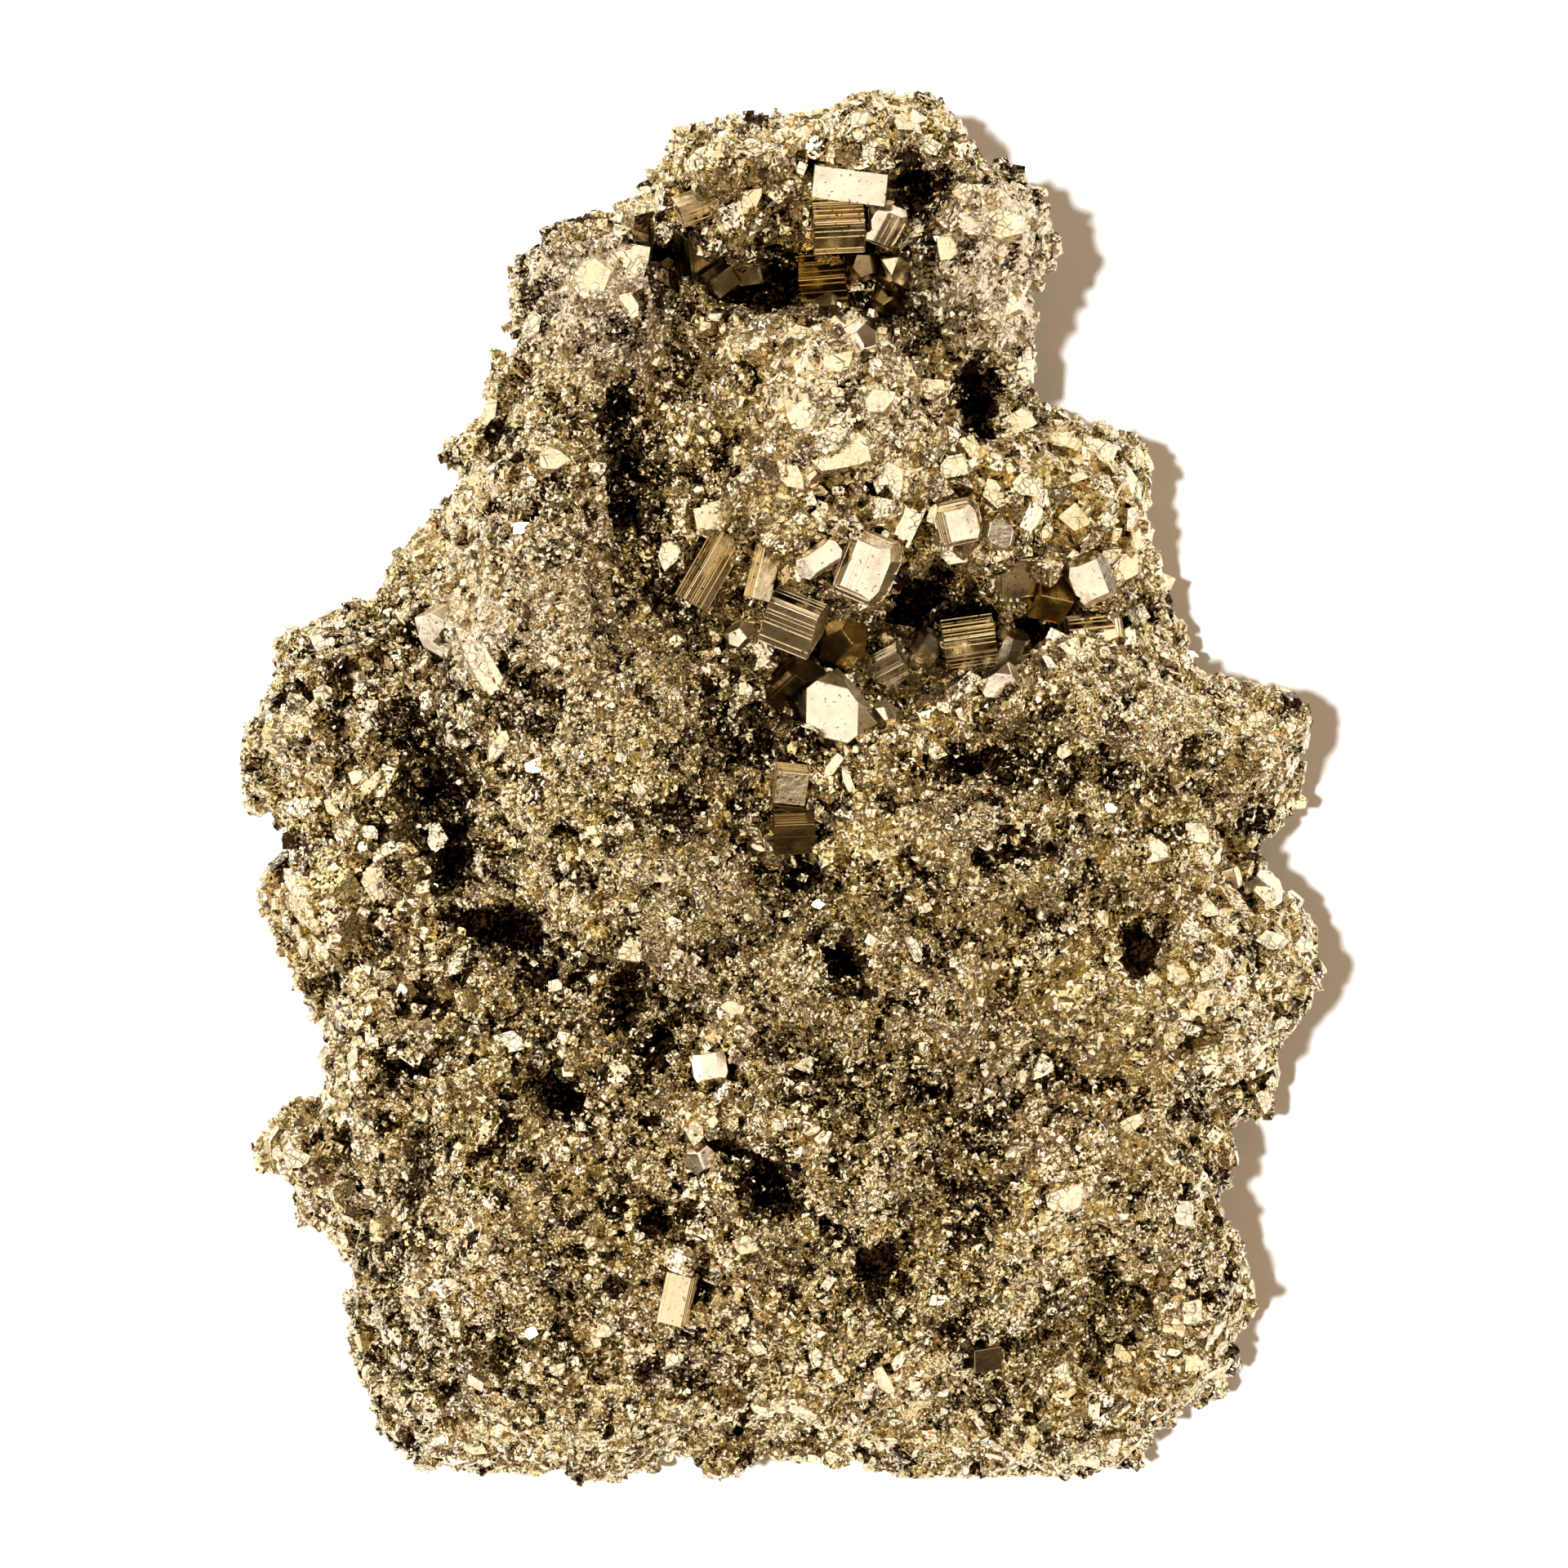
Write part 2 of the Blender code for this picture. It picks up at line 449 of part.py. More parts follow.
def main():
    clear_scene()
    parts = new_collection("pyrite_specimen")
    cutters = new_collection("cutters")
    cutters.hide_render = True
    mass = granular_mass(parts, cutters, pyrite_material("pyrite_grain", 0.4))
    place_crystals(mass, parts, cutters, pyrite_material("pyrite_crystal", 0.15))
    add_cut(mass, "flat_back", back_cutter(cutters))
    centre_on_origin(parts, [*parts.objects, *cutters.all_objects])
    bpy.context.view_layer.update()


main()
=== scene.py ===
"""Looks of the pyrite specimen: a lump of fine sparkling grain with coarse striated crystals in its
pockets, lying on a white table and seen from straight above.

The base skin, the coat of small crystals on it and the large crystals are all real geometry, and
metal materials with tiny differently tilted flakes do the rest.
"""

import math

import bmesh
import bpy
import numpy as np
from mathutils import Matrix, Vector, noise
from mathutils.bvhtree import BVHTree
from mathutils.kdtree import KDTree


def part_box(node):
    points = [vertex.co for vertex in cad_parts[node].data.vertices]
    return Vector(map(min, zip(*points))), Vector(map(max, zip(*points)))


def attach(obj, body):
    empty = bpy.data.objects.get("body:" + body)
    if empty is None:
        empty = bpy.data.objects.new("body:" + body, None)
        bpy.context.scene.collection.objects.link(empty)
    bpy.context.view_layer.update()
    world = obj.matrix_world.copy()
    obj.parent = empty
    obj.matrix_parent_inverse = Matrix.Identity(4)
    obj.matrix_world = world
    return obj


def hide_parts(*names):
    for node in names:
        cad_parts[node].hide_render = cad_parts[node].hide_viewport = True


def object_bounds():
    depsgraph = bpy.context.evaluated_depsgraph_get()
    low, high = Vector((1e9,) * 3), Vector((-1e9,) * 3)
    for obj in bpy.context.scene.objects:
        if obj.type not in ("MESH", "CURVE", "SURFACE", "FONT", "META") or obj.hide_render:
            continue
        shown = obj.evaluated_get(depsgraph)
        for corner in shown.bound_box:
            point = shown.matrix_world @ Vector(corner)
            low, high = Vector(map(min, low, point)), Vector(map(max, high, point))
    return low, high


MM = 0.001

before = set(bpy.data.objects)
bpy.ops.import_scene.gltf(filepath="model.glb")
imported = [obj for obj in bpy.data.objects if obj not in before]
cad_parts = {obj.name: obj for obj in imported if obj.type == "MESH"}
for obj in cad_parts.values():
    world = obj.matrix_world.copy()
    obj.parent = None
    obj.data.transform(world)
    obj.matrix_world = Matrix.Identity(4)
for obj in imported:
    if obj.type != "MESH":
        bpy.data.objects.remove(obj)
cad_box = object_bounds()
LOW = np.array(cad_box[0])
HIGH = np.array(cad_box[1])

# ---- mesh helpers


def read(items, field, width, kind=float):
    """One field of a mesh's vertices, edges, loops or faces as an array."""
    found = np.empty(len(items) * width, kind)
    items.foreach_get(field, found)
    return found.reshape(-1, width) if width > 1 else found


def write(items, field, values, kind=np.float32):
    items.foreach_set(field, values.astype(kind).ravel())


def coordinates(mesh):
    return read(mesh.vertices, "co", 3)


def unit(vectors):
    length = np.linalg.norm(vectors, axis=-1, keepdims=True)
    return vectors / np.maximum(length, 1e-12)


def smoothed(points, edges, rounds, factor=0.7):
    """Points pulled towards the mean of their neighbours."""
    count = len(points)
    a, b = edges[:, 0], edges[:, 1]
    degree = np.bincount(a, minlength=count) + np.bincount(b, minlength=count)
    degree = np.maximum(degree, 1)
    for _ in range(rounds):
        mean = np.empty_like(points)
        for axis in range(points.shape[1]):
            near = np.bincount(a, weights=points[b, axis], minlength=count)
            near += np.bincount(b, weights=points[a, axis], minlength=count)
            mean[:, axis] = near / degree
        points = points + factor * (mean - points)
    return points


def smoothstep(low, high, value):
    t = np.clip((value - low) / (high - low), 0, 1)
    return t * t * (3 - 2 * t)


def linked(name, data):
    obj = bpy.data.objects.new(name, data)
    bpy.context.scene.collection.objects.link(obj)
    return obj


def new_object(name, mesh, material):
    mesh.shade_flat()
    obj = linked(name, mesh)
    mesh.materials.clear()
    mesh.materials.append(material)
    return obj


def add_face_values(mesh, name, values):
    """Stores four numbers per face for the materials to read."""
    write(mesh.attributes.new(name, "FLOAT_COLOR", "FACE").data, "color", values)


# ---- materials

HALF = (0.5, 0.5, 0.5)


class Nodes:
    """Short names for making and joining shader nodes."""

    def __init__(self, name):
        self.material = bpy.data.materials.new(name)
        self.material.use_nodes = True
        self.tree = self.material.node_tree
        self.shader = self.tree.nodes["Principled BSDF"]

    def add(self, kind, **settings):
        node = self.tree.nodes.new(kind)
        for key, value in settings.items():
            setattr(node, key, value)
        return node

    def put(self, socket, value):
        """Joins value to socket if it is another node's socket, or sets it as a number or colour."""
        if isinstance(value, bpy.types.NodeSocket):
            self.tree.links.new(value, socket)
        else:
            socket.default_value = value

    def set(self, name, value):
        """Gives the material's shader one of its inputs."""
        self.put(self.shader.inputs[name], value)

    def math(self, operation, a, b=0.0, clamp=False):
        node = self.add("ShaderNodeMath", operation=operation, use_clamp=clamp)
        self.put(node.inputs[0], a)
        self.put(node.inputs[1], b)
        return node.outputs[0]

    def vector(self, operation, a, b=(0, 0, 0), scale=None):
        node = self.add("ShaderNodeVectorMath", operation=operation)
        self.put(node.inputs[0], a)
        if operation not in ("NORMALIZE", "SCALE"):
            self.put(node.inputs[1], b)
        if scale is not None:
            self.put(node.inputs["Scale"], scale)
        return node.outputs[0]

    def mix(self, share, a, b):
        node = self.add("ShaderNodeMix", data_type="RGBA")
        self.put(node.inputs["Factor"], share)
        self.put(node.inputs[6], a)
        self.put(node.inputs[7], b)
        return node.outputs[2]

    def ramp(self, value, low, high, to_low=0.0, to_high=1.0):
        node = self.add("ShaderNodeMapRange", interpolation_type="SMOOTHSTEP")
        self.put(node.inputs[0], value)
        for i, number in enumerate((low, high, to_low, to_high)):
            node.inputs[i + 1].default_value = number
        return node.outputs[0]

    def place(self):
        """The point being shaded, in metres in the object's own frame."""
        return self.add("ShaderNodeTexCoord").outputs["Object"]

    def texture(self, kind, place, size, **settings):
        """A random texture whose bumps or cells are about size metres across."""
        node = self.add(kind, **settings)
        self.put(node.inputs["Vector"], place)
        node.inputs["Scale"].default_value = 1 / size
        return node

    def noise(self, place, size, detail=3.0):
        """Soft random value."""
        node = self.texture("ShaderNodeTexNoise", place, size)
        node.inputs["Detail"].default_value = detail
        node.inputs["Roughness"].default_value = 0.55
        return node.outputs[0]

    def noise_vector(self, place, size):
        """A soft random direction, from about -0.5 to 0.5 along each axis."""
        node = self.texture("ShaderNodeTexNoise", place, size)
        return self.vector("SUBTRACT", node.outputs["Color"], HALF)

    def cells(self, place, size):
        """A random colour for each cell."""
        return self.texture("ShaderNodeTexVoronoi", place, size, feature="F1").outputs["Color"]

    def tilted(self, normal, colour, amount):
        """normal leant over by a random colour."""
        centred = self.vector("SUBTRACT", colour, HALF)
        lean = self.vector("SCALE", centred, scale=amount)
        return self.vector("NORMALIZE", self.vector("ADD", normal, lean))

    def face_values(self, name):
        node = self.add("ShaderNodeAttribute", attribute_name=name, attribute_type="GEOMETRY")
        return [*self.split(node.outputs["Color"]), node.outputs["Alpha"]]

    def split(self, colour):
        parts = self.add("ShaderNodeSeparateColor")
        self.put(parts.inputs[0], colour)
        return parts.outputs[:3]

    def edges(self, place, size):
        """The distance to the border of each of the cells of the same size, in cells."""
        return self.texture("ShaderNodeTexVoronoi", place, size, feature="DISTANCE_TO_EDGE").outputs[0]


BRASS = (0.87, 0.74, 0.49, 1)
PALE_BRASS = (0.93, 0.83, 0.65, 1)
GREEN_GOLD = (0.74, 0.62, 0.30, 1)
# PAINTED_AMBER_REFLECTION is painted reflection of the gold pyrite around a crystal, PAINTED_SHADE_METAL
# painted shade from the dark it mirrors.
PAINTED_AMBER_REFLECTION = (0.66, 0.46, 0.16, 1)
GREY_PATINA = (0.70, 0.60, 0.48, 1)
# TARNISH_AND_SHADE is the near black of cracks, seams, specks and dark ground, and also of the painted
# shade in hollows and pits.
TARNISH_AND_SHADE = (0.035, 0.018, 0.007, 1)
PAINTED_SHADE_METAL = (0.30, 0.22, 0.11, 1)

# Widths of the cells that the metal is broken into, and how far each crack wanders.
PLATE = 1.3 * MM
CHIP = 0.45 * MM
FLAKE = 0.15 * MM
WANDER = 0.20 * MM


def add_texture(n, colour, rough, plate, shade_and_dirt, plate_tilt, chip_tilt, flake_tilt):
    """Finishes a grain material. Where plate is 1 the surface is flat plates parted by dark cracks,
    where it is 0 fine glitter on a brown ground, and 2 is one polished face. Painted shade in hollows
    and pits, passed in with dirt, blackens it."""
    place = n.place()
    place = n.vector("ADD", place, n.vector("SCALE", n.noise_vector(place, 0.6 * MM), scale=WANDER))
    normal = n.add("ShaderNodeNewGeometry").outputs["Normal"]
    chips = n.cells(place, CHIP)
    flakes = n.cells(place, FLAKE)
    if plate_tilt:
        normal = n.tilted(normal, n.cells(place, PLATE), plate_tilt)
    steady = n.ramp(plate, 1.1, 1.9, 1.0, 0.1)
    chip_lean = n.math("MULTIPLY", steady, n.ramp(plate, 0.0, 1.0, chip_tilt, 0.4 * chip_tilt))
    flake_lean = n.math("MULTIPLY", steady, n.ramp(plate, 0.0, 1.0, flake_tilt, 0.3 * flake_tilt))
    normal = n.tilted(n.tilted(normal, chips, chip_lean), flakes, flake_lean)
    chip_a, chip_b, chip_c = n.split(chips)
    flake_a, flake_b, flake_c = n.split(flakes)
    colour = n.mix(n.ramp(chip_a, 0.4, 1.0, 0.0, 0.7), colour, PALE_BRASS)
    colour = n.mix(n.ramp(flake_a, 0.6, 1.0, 0.0, 0.5), colour, GREEN_GOLD)
    ground = n.ramp(n.math("ADD", flake_b, n.math("MULTIPLY", chip_b, 0.7)), 1.13, 1.30, 0.0, 0.9)
    ground = n.math("MULTIPLY", ground, n.ramp(plate, 0.0, 1.0, 1.0, 0.25))
    broken = n.ramp(n.noise(place, 1.1 * MM), 0.47, 0.60, 0.0, 0.85)
    crack = n.math("MULTIPLY", n.ramp(n.edges(place, PLATE), 0.008, 0.035, 1.0, 0.0), broken)
    crack = n.math("MULTIPLY", crack, plate, clamp=True)
    seam = n.ramp(n.edges(place, CHIP), 0.02, 0.09, 0.7, 0.0)
    seam = n.math("MULTIPLY", seam, n.ramp(n.noise(place, 1.6 * MM), 0.45, 0.55))
    shine = n.math("ADD", n.math("MULTIPLY", flake_c, 0.6), n.math("MULTIPLY", chip_c, 0.4))
    # Painted shade: hollows and pits go black here, with dirt, except the brightest cells.
    shade_and_dirt_mask = n.ramp(n.math("SUBTRACT", shade_and_dirt, shine), -0.08, 0.05, 0.0, 1.0)
    marks = n.math("MAXIMUM", n.math("MAXIMUM", ground, crack), n.math("MAXIMUM", seam, shade_and_dirt_mask))
    n.set("Base Color", n.mix(marks, colour, TARNISH_AND_SHADE))
    n.set("Metallic", 1.0)
    n.set("Roughness", n.math("ADD", rough, n.ramp(flake_c, 0.0, 1.0, -0.06, 0.08)))
    n.set("Normal", normal)


def grain_material():
    """The skin between the crystals: sugar-fine grain and cracked plates, greyer on worn domes."""
    n = Nodes("fine_grain")
    # The first value is painted shade in hollows and pits, with dirt.
    shade_and_dirt, patina, plate, tone = n.face_values("relief")
    colour = n.mix(tone, GREEN_GOLD, BRASS)
    colour = n.mix(n.math("MULTIPLY", patina, 0.7), colour, GREY_PATINA)
    add_texture(n, colour, n.ramp(patina, 0.0, 1.0, 0.17, 0.26), plate, shade_and_dirt, 0.20, 0.34, 0.85)
    return n.material


def coat_material():
    """The coat of small crystals and shards, each one a little different."""
    n = Nodes("small_crystals")
    # The first value is painted shade in hollows and pits, with dirt.
    shade_and_dirt, patina, plate, tone = n.face_values("crystal")
    colour = n.mix(n.ramp(tone, 0.0, 0.4), GREEN_GOLD, BRASS)
    colour = n.mix(n.ramp(tone, 0.55, 1.0), colour, PALE_BRASS)
    colour = n.mix(n.math("MULTIPLY", patina, 0.6), colour, GREY_PATINA)
    clean = n.math("MAXIMUM", plate, n.ramp(tone, 0.3, 0.9, 0.2, 0.9))
    add_texture(n, colour, n.ramp(tone, 0.0, 1.0, 0.20, 0.12), clean, shade_and_dirt, 0.0, 0.25, 0.72)
    return n.material


def crystal_material(name, colour, roughness):
    """A coarse crystal's faces: polished metal with faint growth marks and dark specks."""
    n = Nodes(name)
    place = n.place()
    patches = n.noise(place, 1.2 * MM, 4.0)
    shade = n.mix(n.ramp(patches, 0.35, 0.75), colour, tuple(c * 0.8 for c in colour[:3]) + (1,))
    specks = n.noise(place, 0.22 * MM, 2.0)
    shade = n.mix(n.ramp(specks, 0.63, 0.72, 0.0, 0.85), shade, TARNISH_AND_SHADE)
    n.set("Base Color", shade)
    n.set("Metallic", 1.0)
    n.set("Roughness", n.ramp(patches, 0.3, 0.8, roughness, roughness + 0.14))
    marks = n.add("ShaderNodeBump")
    marks.inputs["Strength"].default_value = 0.5
    marks.inputs["Distance"].default_value = 0.05 * MM
    n.put(marks.inputs["Height"], n.noise(place, 0.5 * MM, 5.0))
    n.set("Normal", marks.outputs[0])
    return n.material


GRAIN = grain_material()
COAT = coat_material()
# One crystal metal in four copies: pale is partly painted highlight, amber painted reflection, dark
# painted shade; brass is the plain colour.
CRYSTAL_LOOKS = {
    "pale": crystal_material("crystal_pale", PALE_BRASS, 0.16),
    "brass": crystal_material("crystal_brass", BRASS, 0.14),
    "amber": crystal_material("crystal_amber", PAINTED_AMBER_REFLECTION, 0.20),
    "dark": crystal_material("crystal_dark", PAINTED_SHADE_METAL, 0.16),
}

# ---- where what grows

# Where coarser crystals grow on the showy side: place (x, y) and reach in mm, their typical size
# there, and how much of the skin they cover.
GRAIN_REGIONS = [
    (1, 30, 8, 1.00, 0.5), (-6.5, 31.5, 3.5, 1.1, 0.7), (8, 10.5, 8.5, 1.25, 0.8),
    (15.5, 10.5, 5, 1.3, 0.9), (1, 7.5, 5.5, 1.1, 0.7), (17, 16, 5.5, 1.15, 0.95),
    (10.5, 16, 4.5, 1.1, 0.8), (3, 13.5, 4, 1.1, 0.7), (0.5, 15, 5, 0.9, 0.6), (-3, 11, 4, 1, 0.6),
    (1, -2, 3, 1.1, 0.7), (26.5, -5.5, 3.5, 1.4, 0.8), (23.5, -9, 4.5, 0.9, 0.7),
    (26, -14, 4.5, 0.8, 0.6), (-23, 4, 5.5, 0.8, 0.6), (-25, -4, 5.5, 1, 0.7), (-22, -11, 5.5, 0.9, 0.6),
    (-26.5, -20.5, 3.5, 1, 0.7), (-22, -29, 5.5, 0.9, 0.7), (-19, -36, 5, 0.8, 0.7),
    (-5.5, -28.5, 4.5, 0.9, 0.6), (16.5, -35.5, 5.5, 0.8, 0.6), (24.5, -31, 4.5, 0.9, 0.7),
    (3, -35.5, 6.5, 0.7, 0.5), (-1, -17, 5, 0.8, 0.6), (-12, -17, 4, 0.9, 0.6), (4, 37.5, 5, 0.7, 0.5),
]
# The same two values elsewhere: on the fine ground of the showy side, and on the sides and back.
FINE_GRAIN, FINE_COVER = 0.42, 0.35
SIDE_GRAIN, SIDE_COVER = 0.62, 0.6

# Domes worn grey and smooth: place (x, y) and reach in mm, and how strongly.
PATINA_REGIONS = [
    (-10, 27.5, 5, 1), (11.5, 29.5, 6, 0.9), (4, 22, 6.5, 0.45), (-14, 12, 6.5, 0.5),
    (-17.5, 9, 3.5, 0.8), (-12, 5, 5, 0.3), (12.5, -17, 2.5, 0.6), (-4, -8, 6, 0.3),
]

# Flatter ground of pale cracked plates: place (x, y) and reach in mm, and how strongly.
PLATE_REGIONS = [
    (3.5, 18, 6.5, 1), (12.5, 18, 5, 0.8), (17.5, 16, 5, 0.9), (11.5, 29.5, 5.5, 1), (4.5, 37, 5, 0.9),
    (-3, 35, 4, 0.6), (2, 23.5, 5.5, 1), (-4, 22.5, 4.5, 1), (-3.5, 14, 3.5, 0.7), (-4, -4.5, 4, 0.7),
    (13, -12, 5, 0.6), (22, -13, 5, 0.5), (8, 22, 4, 0.7), (8, 14, 4, 0.6), (-8, 29, 2.5, 0.8),
    (13, -12, 6, 0.9), (11, -6.5, 4, 0.7), (7, 6, 5, 0.6), (20, 4, 4, 0.4), (18, -12.5, 7.5, 0.9),
    (22, -3, 5, 0.7), (19, -17, 5, 0.7), (7, -3, 4.5, 0.5), (27, 2.5, 3, 0.6), (20, -31, 6, 0.6),
    (16, -24, 3.5, 0.8), (10, -35, 6, 0.5), (-28, 2, 3, 0.8), (-28, -21, 2.5, 0.8), (-26, -7, 3, 0.6),
    (-17.5, 10.5, 3.5, 0.9), (-19, 16, 3, 0.7), (-14, 22, 3.5, 0.5), (-12, -36, 6, 0.4), (25, -9, 5, 0.6),
]

# Large single faces that stand out of the grain on the showy side: place (x, y), width and length in
# mm, turn in degrees, and kind, if it isn't a flat pale face.
FLAT, GLINT, STRIATED, DARK_FACE = range(4)
FEATURES = [
    (-8.4, 29.2, 2, 3, -8), (-6.1, 13.6, 1.1, 2.9, -16), (-3.6, 15.4, 2.4, 1.6, 10, STRIATED),
    (3.2, 18.9, 3.4, 2.4, 15), (6, 17.2, 2.2, 2, -30), (6.9, 14.9, 1.8, 2.6, -25, STRIATED),
    (1.2, 20.6, 1.8, 1.4, 40), (9.6, 18, 1.6, 1.3, 10), (15.5, 20.3, 2, 1.1, 5),
    (18, 19.4, 2.3, 1.5, -20), (19.8, 17.3, 1.6, 2, 10), (15.7, 16.8, 1.5, 1.2, 0, DARK_FACE),
    (18.2, 15.4, 1.4, 1.2, 30, DARK_FACE), (16.6, 13.4, 2, 1.6, 20), (19.7, 12.7, 1.3, 1.6, 0),
    (20.3, 9.9, 1.8, 1.1, 30), (13.9, 24.2, 1.2, 2.4, 8), (12.3, 31.6, 2.6, 1.8, -10),
    (12.8, 27.3, 1.8, 1.3, 20), (9.4, 30, 1.2, 1.8, 5), (10.5, 33.6, 2.2, 1, -5),
    (4.5, 37.6, 1.2, 0.9, 20), (8.3, 36.4, 1.4, 1, -30), (-4.6, 35.7, 2, 1.2, 12, GLINT),
    (-1.8, 33.4, 1.6, 1.2, 0), (-13.9, 26.3, 0.9, 1.7, -12), (-16.4, 21.3, 0.9, 1.7, -20),
    (-17, 17.8, 1, 1.6, -15, STRIATED), (-12.6, 18.4, 1.8, 1.2, 30), (-14.4, 14.6, 1.3, 1, 15, GLINT),
    (-17.9, 9.6, 1, 3.8, 12, STRIATED), (-16.4, 6.9, 1.3, 3.4, 30, STRIATED),
    (-13.5, 1.3, 1.5, 1.2, 20, GLINT), (-15.6, 2.6, 0.7, 2.2, -30), (-17.2, 1.2, 0.6, 1.8, -20, STRIATED),
    (-23.3, -2.4, 1.2, 1, 0, GLINT), (-25.6, -0.9, 1, 1.2, 30), (-23.9, 0.9, 1.4, 0.8, 20, STRIATED),
    (-22.9, -5.2, 1.8, 2.2, 32, STRIATED), (-19.8, -2.6, 1.2, 1.8, 30, STRIATED),
    (-19, -6.4, 1.5, 1, 10, DARK_FACE), (-8.3, -8.4, 2, 1.4, 82, STRIATED), (-12.7, -11, 1, 0.7, 15),
    (-15.2, -14.2, 2, 1.6, 15, GLINT), (-17.2, -13.6, 0.9, 0.8, 0), (2.2, -6.4, 1, 0.7, -20, GLINT),
    (2.9, 1.4, 0.6, 1.6, -35), (3.8, 0.6, 0.5, 1.6, 20), (11.5, -2.9, 0.9, 1, 10),
    (18.4, -1, 1, 0.8, -30, GLINT), (21, -3.4, 1.6, 1.3, 20), (23.4, -2.3, 1.3, 1.1, 0),
    (24, -6.6, 1.3, 1, 10), (27.7, -8.4, 1.6, 1, -20), (21.6, -9, 0.8, 1.8, -25, STRIATED),
    (19.4, -18.9, 0.9, 2.2, -50), (16, -22.8, 2.2, 1.6, 10), (13.4, -20.2, 1.6, 1, 0),
    (14.6, -15.6, 2.2, 1.4, 25), (22.6, -23.6, 1.1, 1.4, 0), (20.8, -27, 0.9, 0.8, 30, GLINT),
    (8.9, -28.6, 1.4, 0.9, 10, GLINT), (12.6, -28.4, 1, 1.3, 0, DARK_FACE),
    (15.9, -26.4, 0.9, 1, 20, DARK_FACE), (5.8, -33, 0.8, 2.6, 35), (12, -35.3, 1, 0.8, 0, GLINT),
    (-4.3, -24.9, 1.1, 1, 0, GLINT), (-1.9, -25.3, 1.2, 1, 20), (-1.4, -31.2, 1.2, 1, 10),
    (2.2, -30.5, 0.9, 0.6, 0, GLINT), (4.6, -32.1, 0.7, 0.7, 0, GLINT), (-14, -30.6, 1, 0.9, 30, GLINT),
    (-12.5, -32.6, 0.9, 0.8, 0), (-9.8, -30.4, 1.1, 0.8, 20), (-5.9, -32, 1.3, 0.7, 20),
    (-26.8, -22.8, 1.4, 1.3, 0, GLINT), (-27.7, -21, 1.6, 1.2, 40), (-24, -31.6, 1, 1.6, 20, DARK_FACE),
    (-22.4, -24.6, 1.4, 1.2, 0, DARK_FACE), (-21, -28.9, 1.1, 1.9, 35, STRIATED),
    (8.3, 4.2, 0.9, 0.7, 0, GLINT), (5.6, 6.6, 0.7, 1.3, 0, GLINT), (-26, 5.6, 1.4, 0.9, 30),
    (-26.5, 8.4, 0.8, 1.2, 20), (-23.8, -14.2, 1, 0.8, 0), (23.5, 5, 1.1, 0.9, 0),
    (26.9, 4, 1.3, 0.9, 15), (15.8, 2.2, 1, 0.8, 30), (7.4, -8.8, 0.6, 1.5, 25, STRIATED),
    (-2.6, -12, 1.3, 0.8, -15), (23.6, -32.6, 1.2, 1, 10), (17.4, -38, 1.8, 0.9, -15),
    (-17.6, -37.6, 1.5, 0.9, 5), (11.7, 19.2, 1.9, 1.4, 20), (13.6, 17, 1.6, 1.2, -25),
    (9, 15.4, 2.1, 1.4, 35), (5.2, 21.6, 2.1, 1.5, -15), (8.4, 22.6, 1.8, 1.3, 10),
    (11.8, 14.8, 1.6, 1.1, -40, STRIATED), (13.5, 20.9, 1.6, 1.2, 30), (0.6, 17.4, 1.7, 1.2, -10),
    (-2, 18.8, 1.6, 1.2, 25), (21.4, 15.4, 1.4, 1.8, 10), (13.9, 13.2, 1.5, 1.2, 15),
    (3.2, 23.6, 1.6, 1.2, 5), (-10.6, 28.6, 2, 2.6, -20), (-8.4, 27, 1.2, 1.6, 15),
]
# Which way each kind's face looks: up at the soft light, over to the lamp, or aside into the dark.
FACING = {
    FLAT: (-0.04, 0.03, 1), GLINT: (-0.1, 0.25, 0.96), STRIATED: (0.16, 0.12, 1),
    DARK_FACE: (0.5, -0.4, 0.8),
}
